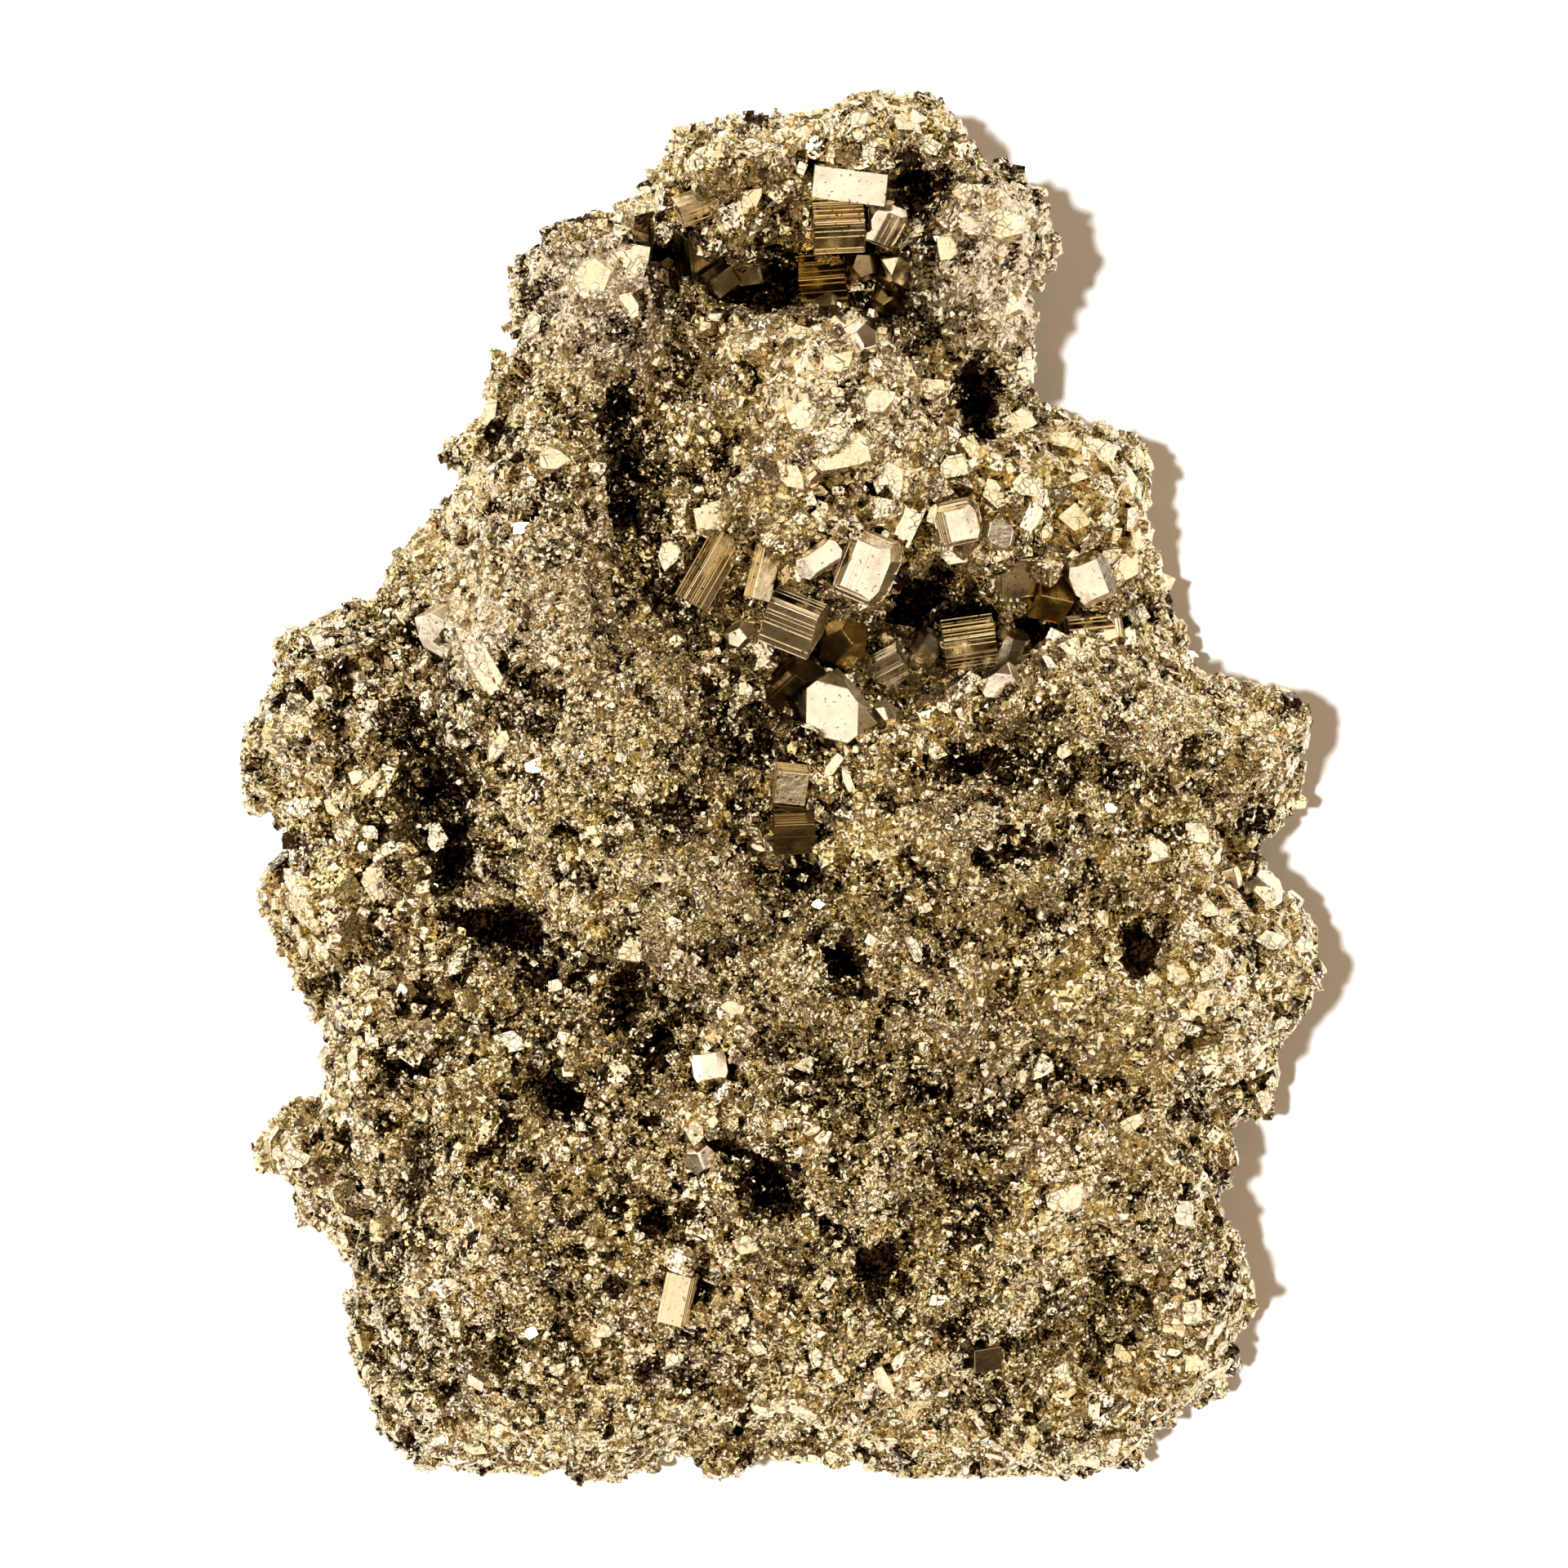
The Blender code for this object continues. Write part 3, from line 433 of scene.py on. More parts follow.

# Painted shade in pits and hollows and along dome rims: place (x, y), half-widths (x, y) in mm, turn in
# degrees, blackness. Over 1 is painted as a crisp round black hole.
PAINTED_SHADE_SPOTS = [
    (-0.8, 28.5, 4, 1.5, -4, 1), (8.4, 31, 0.4, 2.4, 8, 0.7), (-7, 28.3, 0.4, 2, 15, 0.8),
    (3.3, 27.6, 2.1, 1.3, 20, 1), (4.9, 30.4, 1.1, 1.1, 0, 1), (-6.8, 30.2, 2.2, 1.2, -25, 1),
    (2.9, 31.2, 1.9, 0.8, 0, 1), (-4.9, 31.2, 1, 1.2, 0, 0.8), (-8, 31.9, 1.3, 0.8, 0, 1),
    (7.3, 34.3, 1.1, 1.8, 25, 1), (-1, 38, 1.1, 0.6, 0, 0.9), (6, 26.6, 2, 1.2, 0, 0.8),
    (11.3, 22.4, 1.2, 2.7, 10, 0.95), (-8.2, 18, 1.6, 5.2, 6, 0.55), (-5.4, 10.6, 1.2, 3.6, 24, 0.5),
    (-2.4, 4, 2, 4.4, 18, 0.6), (1.2, 9.2, 1.6, 1.2, -20, 0.95), (8, 11, 2.4, 2, 0, 1),
    (10.5, 9.8, 2.4, 1, 0, 1), (14.5, 9.2, 1.3, 1.3, 0, 1), (17, 10.7, 1.8, 0.7, 0, 0.9),
    (11.3, 1.5, 2.6, 1, -18, 0.95), (13.2, -3.6, 2.1, 0.8, 0, 0.8), (-19.8, 2.4, 2.8, 4.4, 22, 0.75),
    (-22, 6, 3.2, 2.4, 0, 0.55), (-18.3, -3.2, 1.6, 3, 10, 0.95), (-15.8, -7.6, 3, 1.3, -12, 0.95),
    (-22.5, -31, 4.6, 4.8, 20, 0.5), (-23, -36, 2, 2, 0, 0.4), (-13.6, 31.2, 1.7, 0.6, 38, 0.6),
    (-6.2, 30, 0.7, 1.7, 0, 0.9), (8.6, 34.6, 1.9, 0.5, 8, 0.6), (13.8, 33.8, 1.6, 0.5, -38, 0.6),
    (-14.4, 28.2, 0.5, 1.6, 8, 0.5), (-13.6, -10.5, 1.4, 0.6, 0, 0.9), (1.6, -4.4, 1.3, 1.4, 0, 1),
    (3.6, -9.2, 1.2, 1.3, 30, 1), (7.5, -11.6, 2, 0.9, -20, 0.6), (-8.6, -11.6, 0.9, 2.7, -14, 0.9),
    (-12.1, -17.2, 2.4, 1.4, -30, 1), (-20.6, -12, 1.7, 1.1, 0, 0.9), (-20.4, -15.4, 1.7, 0.8, 0, 0.9),
    (-6.8, -14.9, 0.9, 0.9, 0, 1), (-0.6, -21.8, 1.4, 2.2, 8, 1), (-2.8, -19.7, 1.6, 0.9, -30, 1),
    (3.5, -17, 3, 1.6, 0, 0.5), (5.3, -26.5, 1.35, 1.15, 0, 1.4), (-7, -24.2, 0.9, 0.8, 0, 1.4),
    (-4.9, -28.4, 0.8, 0.6, 0, 0.9), (-4.8, -30.3, 0.7, 0.5, 0, 0.9), (20.2, -9.2, 1.5, 1.4, 0, 1),
    (26, -6.4, 1.1, 0.7, 0, 1), (27, -2, 0.8, 2.4, 0, 0.9), (26.5, -9.3, 1.3, 0.7, 0, 0.7),
    (11.8, -31.6, 1.3, 1, 0, 0.9), (24, -28, 1.1, 1, 0, 0.7), (-22.5, -26.5, 2.8, 2.2, 0, 0.6),
    (-21.4, -37.4, 0.8, 1, 0, 0.8), (-20.6, 9, 1.7, 1, 0, 0.8), (-24, 8.8, 2, 0.8, 0, 0.6),
    (23, -18, 1.2, 0.8, 0, 0.6), (-15.5, 20.2, 1, 0.8, 0, 0.8), (-12.8, 16.5, 1.6, 0.9, 30, 0.5),
    (-23.5, -1, 1.5, 1, 0, 0.5), (-12, -9, 3, 0.8, -25, 0.5), (15.5, -29.5, 1.3, 0.5, 0, 0.6),
]
# No painted shade is put below this height.
LOWEST_PAINTED_SHADE = 4 * MM


def reach_of(points, x, y, reach):
    """1 at the middle of a region, 0 outside it, for points in metres."""
    away = np.hypot(points[:, 0] / MM - x, points[:, 1] / MM - y)
    return 1 - smoothstep(0.55 * reach, 1.15 * reach, away)


def grain_at(points, normals):
    """Typical crystal size in mm at each point, and the share of the skin that crystals cover."""
    up = smoothstep(-0.1, 0.45, normals[:, 2])
    size = FINE_GRAIN * up + SIDE_GRAIN * (1 - up)
    cover = FINE_COVER * up + SIDE_COVER * (1 - up)
    for x, y, reach, there, share in GRAIN_REGIONS:
        near = reach_of(points, x, y, reach) * up
        size = np.maximum(size, FINE_GRAIN + (there - FINE_GRAIN) * near)
        cover = np.maximum(cover, FINE_COVER + (share - FINE_COVER) * near)
    cover = cover * (1 - 0.85 * region_strength(PATINA_REGIONS, points))
    return size, cover * (1 - 0.95 * painted_pit_shade(points, normals) ** 2)


def region_strength(regions, points):
    strongest = np.zeros(len(points))
    for x, y, reach, strength in regions:
        strongest = np.maximum(strongest, reach_of(points, x, y, reach) * strength)
    return strongest


def noise_relief(points, size):
    """Smooth noise with bumps about size across, from about -1 to 1."""
    return np.array([noise.noise(Vector(p / size)) for p in points])


def painted_pit_shade(points, normals):
    """How black the painted shade is: ragged patches in the pits on the showy side, over 1 in the holes.
    """
    ragged = noise_relief(points, 1.4 * MM) * 0.7 + noise_relief(points, 0.6 * MM) * 0.3
    black = np.zeros(len(points))
    for x, y, across_x, across_y, turn, strength in PAINTED_SHADE_SPOTS:
        a = math.radians(turn)
        dx, dy = points[:, 0] / MM - x, points[:, 1] / MM - y
        along, aside = dx * math.cos(a) + dy * math.sin(a), dy * math.cos(a) - dx * math.sin(a)
        away = np.hypot(along / across_x, aside / across_y)
        edge = ragged * 0.3 if strength > 1 else ragged
        black = np.maximum(black, (1 - smoothstep(0.8, 1.15, away + edge)) * strength)
    return black * (points[:, 2] > LOWEST_PAINTED_SHADE) * (normals[:, 2] > -0.2)


def looks_at(points, normals, hollow):
    """Painted shade with dirt, then patina, plate and tone of each point."""
    patina = region_strength(PATINA_REGIONS, points)
    plate = region_strength(PLATE_REGIONS, points) + 0.45 * noise_relief(points, 3.0 * MM)
    clean = np.clip(np.maximum(plate, patina), 0, 1)
    mottle = smoothstep(0.12, 0.45, noise_relief(points, 1.5 * MM)) * (0.85 - 0.55 * clean)
    # Painted shade: black in the listed pits and 0.6 of the hollowness; the mottle is random dark tone.
    shade_and_dirt = np.max([painted_pit_shade(points, normals), hollow * 0.6, mottle], axis=0)
    tone = 0.5 + noise_relief(points, 7 * MM)
    rest = np.stack([patina, plate, tone], axis=1)
    return np.column_stack([np.clip(shade_and_dirt, 0, 1.5), np.clip(rest, 0, 1)])


# ---- the base skin

SKIN_VOXEL = 0.28 * MM
PIECE_TRIANGLES = 185000  # at most, so that no piece has to be thinned out later
LUMP, LUMP_RISE = 3.0 * MM, 0.65 * MM
STONE, STONE_RISE = 1.25 * MM, 0.36 * MM
SUGAR, SUGAR_RISE = 0.62 * MM, 0.15 * MM
SWELL = 3.4 * MM
SINK = 0.2 * MM  # the skin starts this far under the CAD surface, to keep its bumps inside the box
MARGIN = 0.02 * MM


def skin_mesh(node):
    """The mass node's shape, remeshed finely enough to carry its grain."""
    source = node.data.copy()
    bm = bmesh.new()
    bm.from_mesh(source)
    bmesh.ops.remove_doubles(bm, verts=bm.verts, dist=1e-6)
    bm.to_mesh(source)
    bm.free()
    helper = linked("skin_source", source)
    remesh = helper.modifiers.new("skin", "REMESH")
    remesh.mode = "VOXEL"
    remesh.voxel_size = SKIN_VOXEL
    graph = bpy.context.evaluated_depsgraph_get()
    mesh = bpy.data.meshes.new_from_object(helper.evaluated_get(graph))
    bpy.data.objects.remove(helper)
    return mesh


def seed_cells(points, rng, spacing):
    """Picks seeds about spacing apart. Returns which points they are, each point's own seed, and its
    distance to the border of that seed's cell."""
    count = int(len(points) * (SKIN_VOXEL / spacing) ** 2)
    chosen = rng.choice(len(points), count, replace=False)
    seeds = points[chosen]
    tree = KDTree(count)
    for i, seed in enumerate(seeds):
        tree.insert(seed, i)
    tree.balance()
    own = np.empty(len(points), np.int64)
    border = np.empty(len(points))
    for i, point in enumerate(points):
        first, second = tree.find_n(point, 2)
        own[i] = first[1]
        border[i] = (second[2] - first[2]) / 2
    return chosen, own, border


def facet_relief(points, normals, rng, spacing, lean, limit):
    """Heights that break a surface into flat, tilted facets about spacing across."""
    chosen, own, border = seed_cells(points, rng, spacing)
    facing = unit(normals[chosen] + lean * rng.normal(size=(len(chosen), 3)) * 0.6)
    across = np.einsum("ij,ij->i", facing[own], normals)
    rise = np.einsum("ij,ij->i", facing[own], points[chosen][own] - points)
    step = rng.uniform(-0.4, 0.4, len(chosen))[own] * limit
    return np.clip(rise / np.maximum(across, 0.4), -limit, limit) + step, border


def build_skin(rng):
    """The base skin, with how hollow each of its vertices lies."""
    mesh = skin_mesh(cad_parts["pyrite_mass"])
    points = coordinates(mesh)
    edges = read(mesh.edges, "vertices", 2, np.int64)
    base = points.copy()
    normals = unit(smoothed(read(mesh.vertex_normals, "vector", 3), edges, 4))
    flat = region_strength(PLATE_REGIONS, base)
    rough = 1 - 0.6 * np.maximum(region_strength(PATINA_REGIONS, base), 0.7 * flat)
    lumps, lump_border = facet_relief(base, normals, rng, LUMP, 0.35, LUMP_RISE)
    stones, stone_border = facet_relief(base, normals, rng, STONE, 0.5, STONE_RISE)
    sugar, _ = facet_relief(base, normals, rng, SUGAR, 0.6, SUGAR_RISE)
    height = noise_relief(base, SWELL) * 0.6 * MM + lumps
    height += (stones * 0.85 + sugar) * rough
    torn = smoothstep(0.0, 0.25, noise_relief(base + 0.05, 2.4 * MM))
    height -= torn * 0.75 * MM * (1 - smoothstep(0.0, 0.30 * MM, lump_border))
    height -= torn * 0.35 * MM * (1 - smoothstep(0.0, 0.16 * MM, stone_border)) * rough
    points = base + normals * (height - SINK)[:, None]
    points += rng.normal(size=points.shape) * 0.012 * MM
    # How hollow each vertex lies, the cracks between lumps included; looks_at paints this as shade.
    near = smoothed(points, edges, 30)
    wide = smoothed(near, edges, 130)
    dip = np.einsum("ij,ij->i", near - points, normals) / (0.45 * MM)
    bowl = np.einsum("ij,ij->i", wide - near, normals) / (0.8 * MM)
    hollow = np.clip(0.6 * dip + 0.8 * bowl, 0, 1)
    seam = torn * (1 - smoothstep(0.05 * MM, 0.42 * MM, lump_border))
    hollow = np.maximum(hollow, seam)
    under = normals[:, 2] < -0.5
    points[under, 2] = np.maximum(points[under, 2], base[under, 2] * 0.3)
    points = np.clip(points, LOW + MARGIN, HIGH - MARGIN)
    points[:, 2] = np.maximum(points[:, 2], LOW[2])
    write(mesh.vertices, "co", points)
    mesh.update()
    return mesh, points, normals, hollow


def part_of(mesh, quads, mine, name):
    """A mesh of only some of a mesh's faces."""
    used, corner = np.unique(quads[mine], return_inverse=True)
    corner = corner.reshape(-1, 4)
    triangle = quads[mine, 2] == quads[mine, 3]
    faces = [tuple(c[:3]) if t else tuple(c) for c, t in zip(corner.tolist(), triangle)]
    part = bpy.data.meshes.new(name)
    part.from_pydata(coordinates(mesh)[used].tolist(), [], faces)
    return part


def quads_of(mesh):
    """Corner vertices of each face, its last one repeated on a triangle."""
    start = read(mesh.polygons, "loop_start", 1, np.int64)
    total = read(mesh.polygons, "loop_total", 1, np.int64)
    vertex = read(mesh.loops, "vertex_index", 1, np.int64)
    quads = np.stack([vertex[start + np.minimum(i, total - 1)] for i in range(4)], axis=1)
    return quads, start, total


def cell_map(mesh):
    """A map for baking that gives every face a square of its own."""
    _, start, total = quads_of(mesh)
    count = len(start)
    side = math.ceil(math.sqrt(count))
    uv = np.zeros((len(mesh.loops), 2), np.float32)
    corner = np.array([(0.06, 0.06), (0.94, 0.06), (0.94, 0.94), (0.06, 0.94)])
    cell = np.stack([np.arange(count) % side, np.arange(count) // side], axis=1)
    for i in range(4):
        has = total > i
        uv[start[has] + i] = (cell[has] + corner[i]) / side
    write(mesh.uv_layers.new(name="OFBake").uv, "vector", uv)


# ---- crystals as templates


def signed(a, b, c):
    signs = [(1, -1) if n else (1,) for n in (a, b, c)]
    return [(a * i, b * j, c * k) for i in signs[0] for j in signs[1] for k in signs[2]]


OCTAHEDRON_FACES = signed(1, 1, 1)
PYRITOHEDRON_FACES = signed(2, 1, 0) + signed(0, 2, 1) + signed(1, 0, 2)


def cut_cube(normals, distance):
    """A cube of edge 1 cut by planes at distance, as (vertices, faces)."""
    bm = bmesh.new()
    bmesh.ops.create_cube(bm, size=1)
    for normal in normals:
        direction = Vector(normal).normalized()
        cut = bmesh.ops.bisect_plane(
            bm, geom=bm.verts[:] + bm.edges[:] + bm.faces[:],
            plane_co=direction * distance / 2, plane_no=direction, clear_outer=True,
        )
        rim = [g for g in cut["geom_cut"] if isinstance(g, bmesh.types.BMEdge)]
        if rim:
            bmesh.ops.contextual_create(bm, geom=rim)
    bmesh.ops.recalc_face_normals(bm, faces=bm.faces)
    bm.verts.index_update()
    vertices = np.array([v.co for v in bm.verts])
    faces = [[v.index for v in f.verts] for f in bm.faces]
    bm.free()
    return vertices, faces


def shard(rng):
    """A broken bit: a cube cut by random planes."""
    return cut_cube([tuple(rng.normal(size=3)) for _ in range(7)], rng.uniform(0.72, 1.0))


def lath_bundle(rng):
    """Thin parallel laths of different heights, as in a striated crystal."""
    box, faces = cut_cube([], 1)
    vertices, all_faces = [], []
    at = -0.5
    while at < 0.42:
        wide = min(rng.uniform(0.08, 0.24), 0.5 - at)
        tall, long = rng.uniform(0.62, 1.0, 2)
        middle = (at + wide / 2, 0, (long - 1) * rng.uniform(-0.5, 0.5))
        all_faces += [[v + len(vertices) * 8 for v in face] for face in faces]
        vertices.append(box * (wide, tall, long) + middle)
        at += wide
    return np.concatenate(vertices), all_faces


def plate(rng):
    """A flat-topped crystal whose outline is an uneven polygon."""
    angles = rng.uniform(0, 2 * math.pi, 6)
    return cut_cube([(math.cos(a), math.sin(a), 0.12) for a in angles], rng.uniform(0.82, 1.05))


shape_rng = np.random.default_rng(7)
SHARDS = [shard(shape_rng) for _ in range(14)]
BUNDLES = [lath_bundle(shape_rng) for _ in range(4)]
PLATES = [plate(shape_rng) for _ in range(8)]
CRYSTALS = [
    cut_cube([], 1), cut_cube(OCTAHEDRON_FACES, 1.30), cut_cube(PYRITOHEDRON_FACES, 0.92),
    cut_cube(PYRITOHEDRON_FACES, 1.12),
]


def random_turns(rng, count):
    """Rotation matrices, evenly spread over all turns."""
    q = unit(rng.normal(size=(count, 4)))
    w, x, y, z = q.T
    rows = [
        [1 - 2 * (y * y + z * z), 2 * (x * y - z * w), 2 * (x * z + y * w)],
        [2 * (x * y + z * w), 1 - 2 * (x * x + z * z), 2 * (y * z - x * w)],
        [2 * (x * z - y * w), 2 * (y * z + x * w), 1 - 2 * (x * x + y * y)],
    ]
    return np.moveaxis(np.array(rows), 2, 0)


def flat_turns(rng, normals):
    """Rotations that lay a crystal's top face nearly along the surface."""
    up = unit(normals + rng.normal(size=normals.shape) * 0.15)
    along = unit(np.cross(up, rng.normal(size=normals.shape)))
    return np.stack([along, np.cross(up, along), up], axis=2)


def crystals_mesh(name, batches):
    """One mesh out of many crystals. Each batch: template, centres, turns, sizes (n, 3), values
    (n, 4). A crystal that would stick out of the CAD box is moved in."""
    points, corners, starts, values, uvs = [], [], [], [], []
    vertex_count, corner_count, crystal_count = 0, 0, 0
    total = sum(len(batch[1]) for batch in batches)
    side = math.ceil(math.sqrt(total))
    for (vertices, faces), centres, turns, sizes, value in batches:
        count = len(centres)
        local = vertices[None] * sizes[:, None, :]
        placed = np.einsum("nij,nvj->nvi", turns, local) + centres[:, None]
        placed += np.maximum(LOW - placed.min(axis=1), 0)[:, None]
        placed -= np.maximum(placed.max(axis=1) - HIGH, 0)[:, None]
        points.append(placed.reshape(-1, 3))
        flat = np.array([v for face in faces for v in face])
        shift = vertex_count + np.arange(count) * len(vertices)
        corners.append((flat[None] + shift[:, None]).ravel())
        lengths = np.array([len(face) for face in faces])
        first = np.concatenate([[0], np.cumsum(lengths)[:-1]])
        starts.append((first[None] + corner_count + np.arange(count)[:, None] * len(flat)).ravel())
        values.append(np.repeat(value, len(faces), axis=0))
        turn = np.concatenate([np.arange(k) / k for k in lengths]) * 2 * math.pi
        local_uv = 0.5 + 0.46 * np.stack([np.cos(turn), np.sin(turn)], axis=1)
        number = crystal_count + np.arange(count)
        cell = np.stack([number % side, number // side], axis=1)
        uvs.append(((cell[:, None] + local_uv[None]) / side).reshape(-1, 2))
        vertex_count += count * len(vertices)
        corner_count += count * len(flat)
        crystal_count += count
    mesh = bpy.data.meshes.new(name)
    points = np.concatenate(points)
    mesh.vertices.add(len(points))
    write(mesh.vertices, "co", points)
    mesh.loops.add(corner_count)
    write(mesh.loops, "vertex_index", np.concatenate(corners), np.int32)
    starts = np.concatenate(starts)
    mesh.polygons.add(len(starts))
    write(mesh.polygons, "loop_start", starts, np.int32)
    write(mesh.uv_layers.new(name="OFBake").uv, "vector", np.concatenate(uvs))
    mesh.update(calc_edges=True)
    add_face_values(mesh, "crystal", np.concatenate(values))
    return mesh


# ---- the coat of small crystals

# Typical sizes of the coat's layers in mm, largest first, and how many places to try for each.
COAT_LAYERS = [
    (1.9, 2500), (1.5, 5000), (1.15, 10000), (0.9, 16000), (0.7, 26000), (0.52, 34000), (0.38, 34000),
]
COAT_SPREAD = 0.28  # how far from the local grain size a layer still grows, as a log
ELBOW = 0.40  # the radius that a crystal keeps clear of its neighbours', as a share of its size
FACE_LIFT_MM = 0.42  # how far the large faces stand out of the skin
GLINT_SHARE = 0.75  # a glint's size as a share of its size in the table
# Tone of the faces turned to the dark: a greener, darker gold, painted shade on top of their turn.
PAINTED_SHADE_TONE = 0.15


def random_places(rng, mesh, points, count, weights):
    """Random points on the skin, spread by area times weight, and the faces they lie on."""
    quads, _, _ = quads_of(mesh)
    a, b, c, d = (points[quads[:, i]] for i in range(4))
    area = np.linalg.norm(np.cross(c - a, d - b), axis=1) * weights
    edges = np.cumsum(area)
    face = np.searchsorted(edges, rng.random(count) * edges[-1])
    face = np.minimum(face, len(quads) - 1)
    u, v = rng.random((2, count, 1))
    places = (1 - u) * ((1 - v) * a[face] + v * b[face]) + u * ((1 - v) * d[face] + v * c[face])
    return places, face


class Crowd:
    """The crystals placed so far, to keep new ones from standing in them."""

    def __init__(self, cell):
        self.cell = cell
        self.cells = {}

    def has_room(self, place, radius):
        x, y, z = (int(math.floor(c / self.cell)) for c in place)
        for i in (x - 1, x, x + 1):
            for j in (y - 1, y, y + 1):
                for k in (z - 1, z, z + 1):
                    for px, py, pz, r in self.cells.get((i, j, k), ()):
                        gap = (px - place[0]) ** 2 + (py - place[1]) ** 2 + (pz - place[2]) ** 2
                        if gap < (r + radius) ** 2:
                            return False
        return True

    def add(self, place, radius):
        key = tuple(int(math.floor(c / self.cell)) for c in place)
        self.cells.setdefault(key, []).append((*place, radius))


def set_features(rng, mesh, points):
    """The large single faces, seated in the skin, with the middle and radius of each."""
    quads, _, _ = quads_of(mesh)
    skin_tree = BVHTree.FromPolygons(points.tolist(), quads.tolist())
    batches, seated = [], []
    for number, (x, y, width, length, turn, *kind) in enumerate(FEATURES):
        kind = kind[0] if kind else FLAT
        hit = skin_tree.ray_cast(Vector((x * MM, y * MM, HIGH[2] + 0.01)), Vector((0, 0, -1)))[0]
        if hit is None:
            continue
        if kind == GLINT:
            width, length = GLINT_SHARE * width, GLINT_SHARE * length
        thick = 0.6 * min(width, length)
        up = unit(np.array(FACING[kind]) + rng.normal(size=3) * (0.02 if kind == GLINT else 0.06))
        a = math.radians(turn)
        side = unit(np.cross(up, (math.cos(a), math.sin(a), 0)))
        turned = np.stack([np.cross(side, up), side, up], axis=1)
        middle = np.array(hit) + up * (FACE_LIFT_MM - thick / 2) * MM
        template = BUNDLES[number % len(BUNDLES)] if kind == STRIATED else PLATES[number % len(PLATES)]
        size = np.array([[width, length, thick]]) * MM
        tone = PAINTED_SHADE_TONE if kind == DARK_FACE else rng.uniform(0.5, 1.0)
        look = np.array([[0.0, 0.0, 2.0 if kind == GLINT else 1.0, tone]])
        batches.append((template, middle[None], turned[None], size, look))
        seated.append((*hit, 0.55 * math.sqrt(width * length) * MM))
    return new_object("large_faces", crystals_mesh("large_faces", batches), COAT), seated


def grow_coat(rng, mesh, points, normals, hollow, features):
    """Places small crystals all over the skin, from the largest size to the finest, clear of the
    large faces and of the coarse crystals."""
    quads, _, _ = quads_of(mesh)
    face_normals = unit(normals[quads].mean(axis=1))
    face_hollow = hollow[quads].mean(axis=1)
    face_points = points[quads].mean(axis=1)
    local, cover = grain_at(face_points, face_normals)
    looks = looks_at(face_points, face_normals, face_hollow)
    crowd = Crowd(2.6 * MM)
    for *place, radius in features:
        crowd.add(place, radius)
    seated = []
    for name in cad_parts:
        if name != "pyrite_mass":
            low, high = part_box(name)
            middle = (low + high) / 2
            seated.append((middle, 0.36 * (high - low).length / math.sqrt(3) * 1.25))
    keep = KDTree(len(seated))
    for i, (middle, _) in enumerate(seated):
        keep.insert(middle, i)
    keep.balance()
    found = {key: [] for key in ("place", "size", "normal", "looks")}
    for size, tries in COAT_LAYERS:
        fits = np.exp(-((np.log(size / local) / COAT_SPREAD) ** 2))
        fits = np.maximum(fits, 0.35 * (size < local) * (size > 0.35 * local)) * cover
        tries = int(tries * min(1.0, fits.mean() * 3))
        places, face = random_places(rng, mesh, points, tries, fits)
        sizes = size * MM * np.exp(rng.normal(size=tries) * 0.14)
        for place, at, own in zip(places.tolist(), face, sizes):
            if not crowd.has_room(place, ELBOW * own):
                continue
            for _, i, away in keep.find_n(place, 2):
                if away < seated[i][1] + 0.30 * own:
                    break
            else:
                crowd.add(place, ELBOW * own)
                found["place"].append(place)
                found["size"].append(own)
                found["normal"].append(face_normals[at])
                found["looks"].append(looks[at])
    return {key: np.array(value) for key, value in found.items()}


def coat_objects(rng, coat):
    """The coat as a few meshes, each a share of the crystals."""
    count = len(coat["size"])
    turns = random_turns(rng, count)
    flat = rng.random(count) < 0.45 + 0.45 * coat["looks"][:, 2]
    turns[flat] = flat_turns(rng, coat["normal"][flat])
    sizes = coat["size"][:, None] * np.exp(rng.normal(size=(count, 3)) * 0.14)
    sizes[:, 2] *= rng.uniform(0.6, 1.25, count)
    sink = rng.uniform(-0.18, 0.20, count) * coat["size"]
    centres = coat["place"] + coat["normal"] * sink[:, None]
    values = coat["looks"].copy()
    values[:, 3] = rng.random(count)
    # The first value is painted shade with dirt: cut to 0.15 on 45% of the crystals, to 0.8 on the rest.
    sparkling = (rng.random(count) < 0.45) & (values[:, 0] < 1.05)
    values[:, 0] = np.minimum(values[:, 0] * np.where(sparkling, 0.15, 0.8), 1)
    templates = CRYSTALS + SHARDS + BUNDLES
    share = [0.07, 0.04, 0.06, 0.05] + [0.74 / len(SHARDS)] * len(SHARDS)
    share += [0.04 / len(BUNDLES)] * len(BUNDLES)
    kind = rng.choice(len(templates), count, p=share)
    tris = np.array([sum(len(f) - 2 for f in t[1]) for t in templates])
    kind = np.where((coat["size"] < 0.8 * MM) & (kind >= len(templates) - len(BUNDLES)), 0, kind)
    order = np.argsort(centres[:, 1])
    load = np.cumsum(tris[kind][order])
    pieces = math.ceil(load[-1] / PIECE_TRIANGLES)
    objects = []
    for piece in range(pieces):
        mine = order[(load > load[-1] * piece / pieces) & (load <= load[-1] * (piece + 1) / pieces)]
        batches = []
        for i, template in enumerate(templates):
            own = mine[kind[mine] == i]
            if len(own):
                batches.append((template, centres[own], turns[own], sizes[own], values[own]))
        name = f"small_crystals_{piece + 1}"
        objects.append(new_object(name, crystals_mesh(name, batches), COAT))
    return objects


# ---- coarse crystals

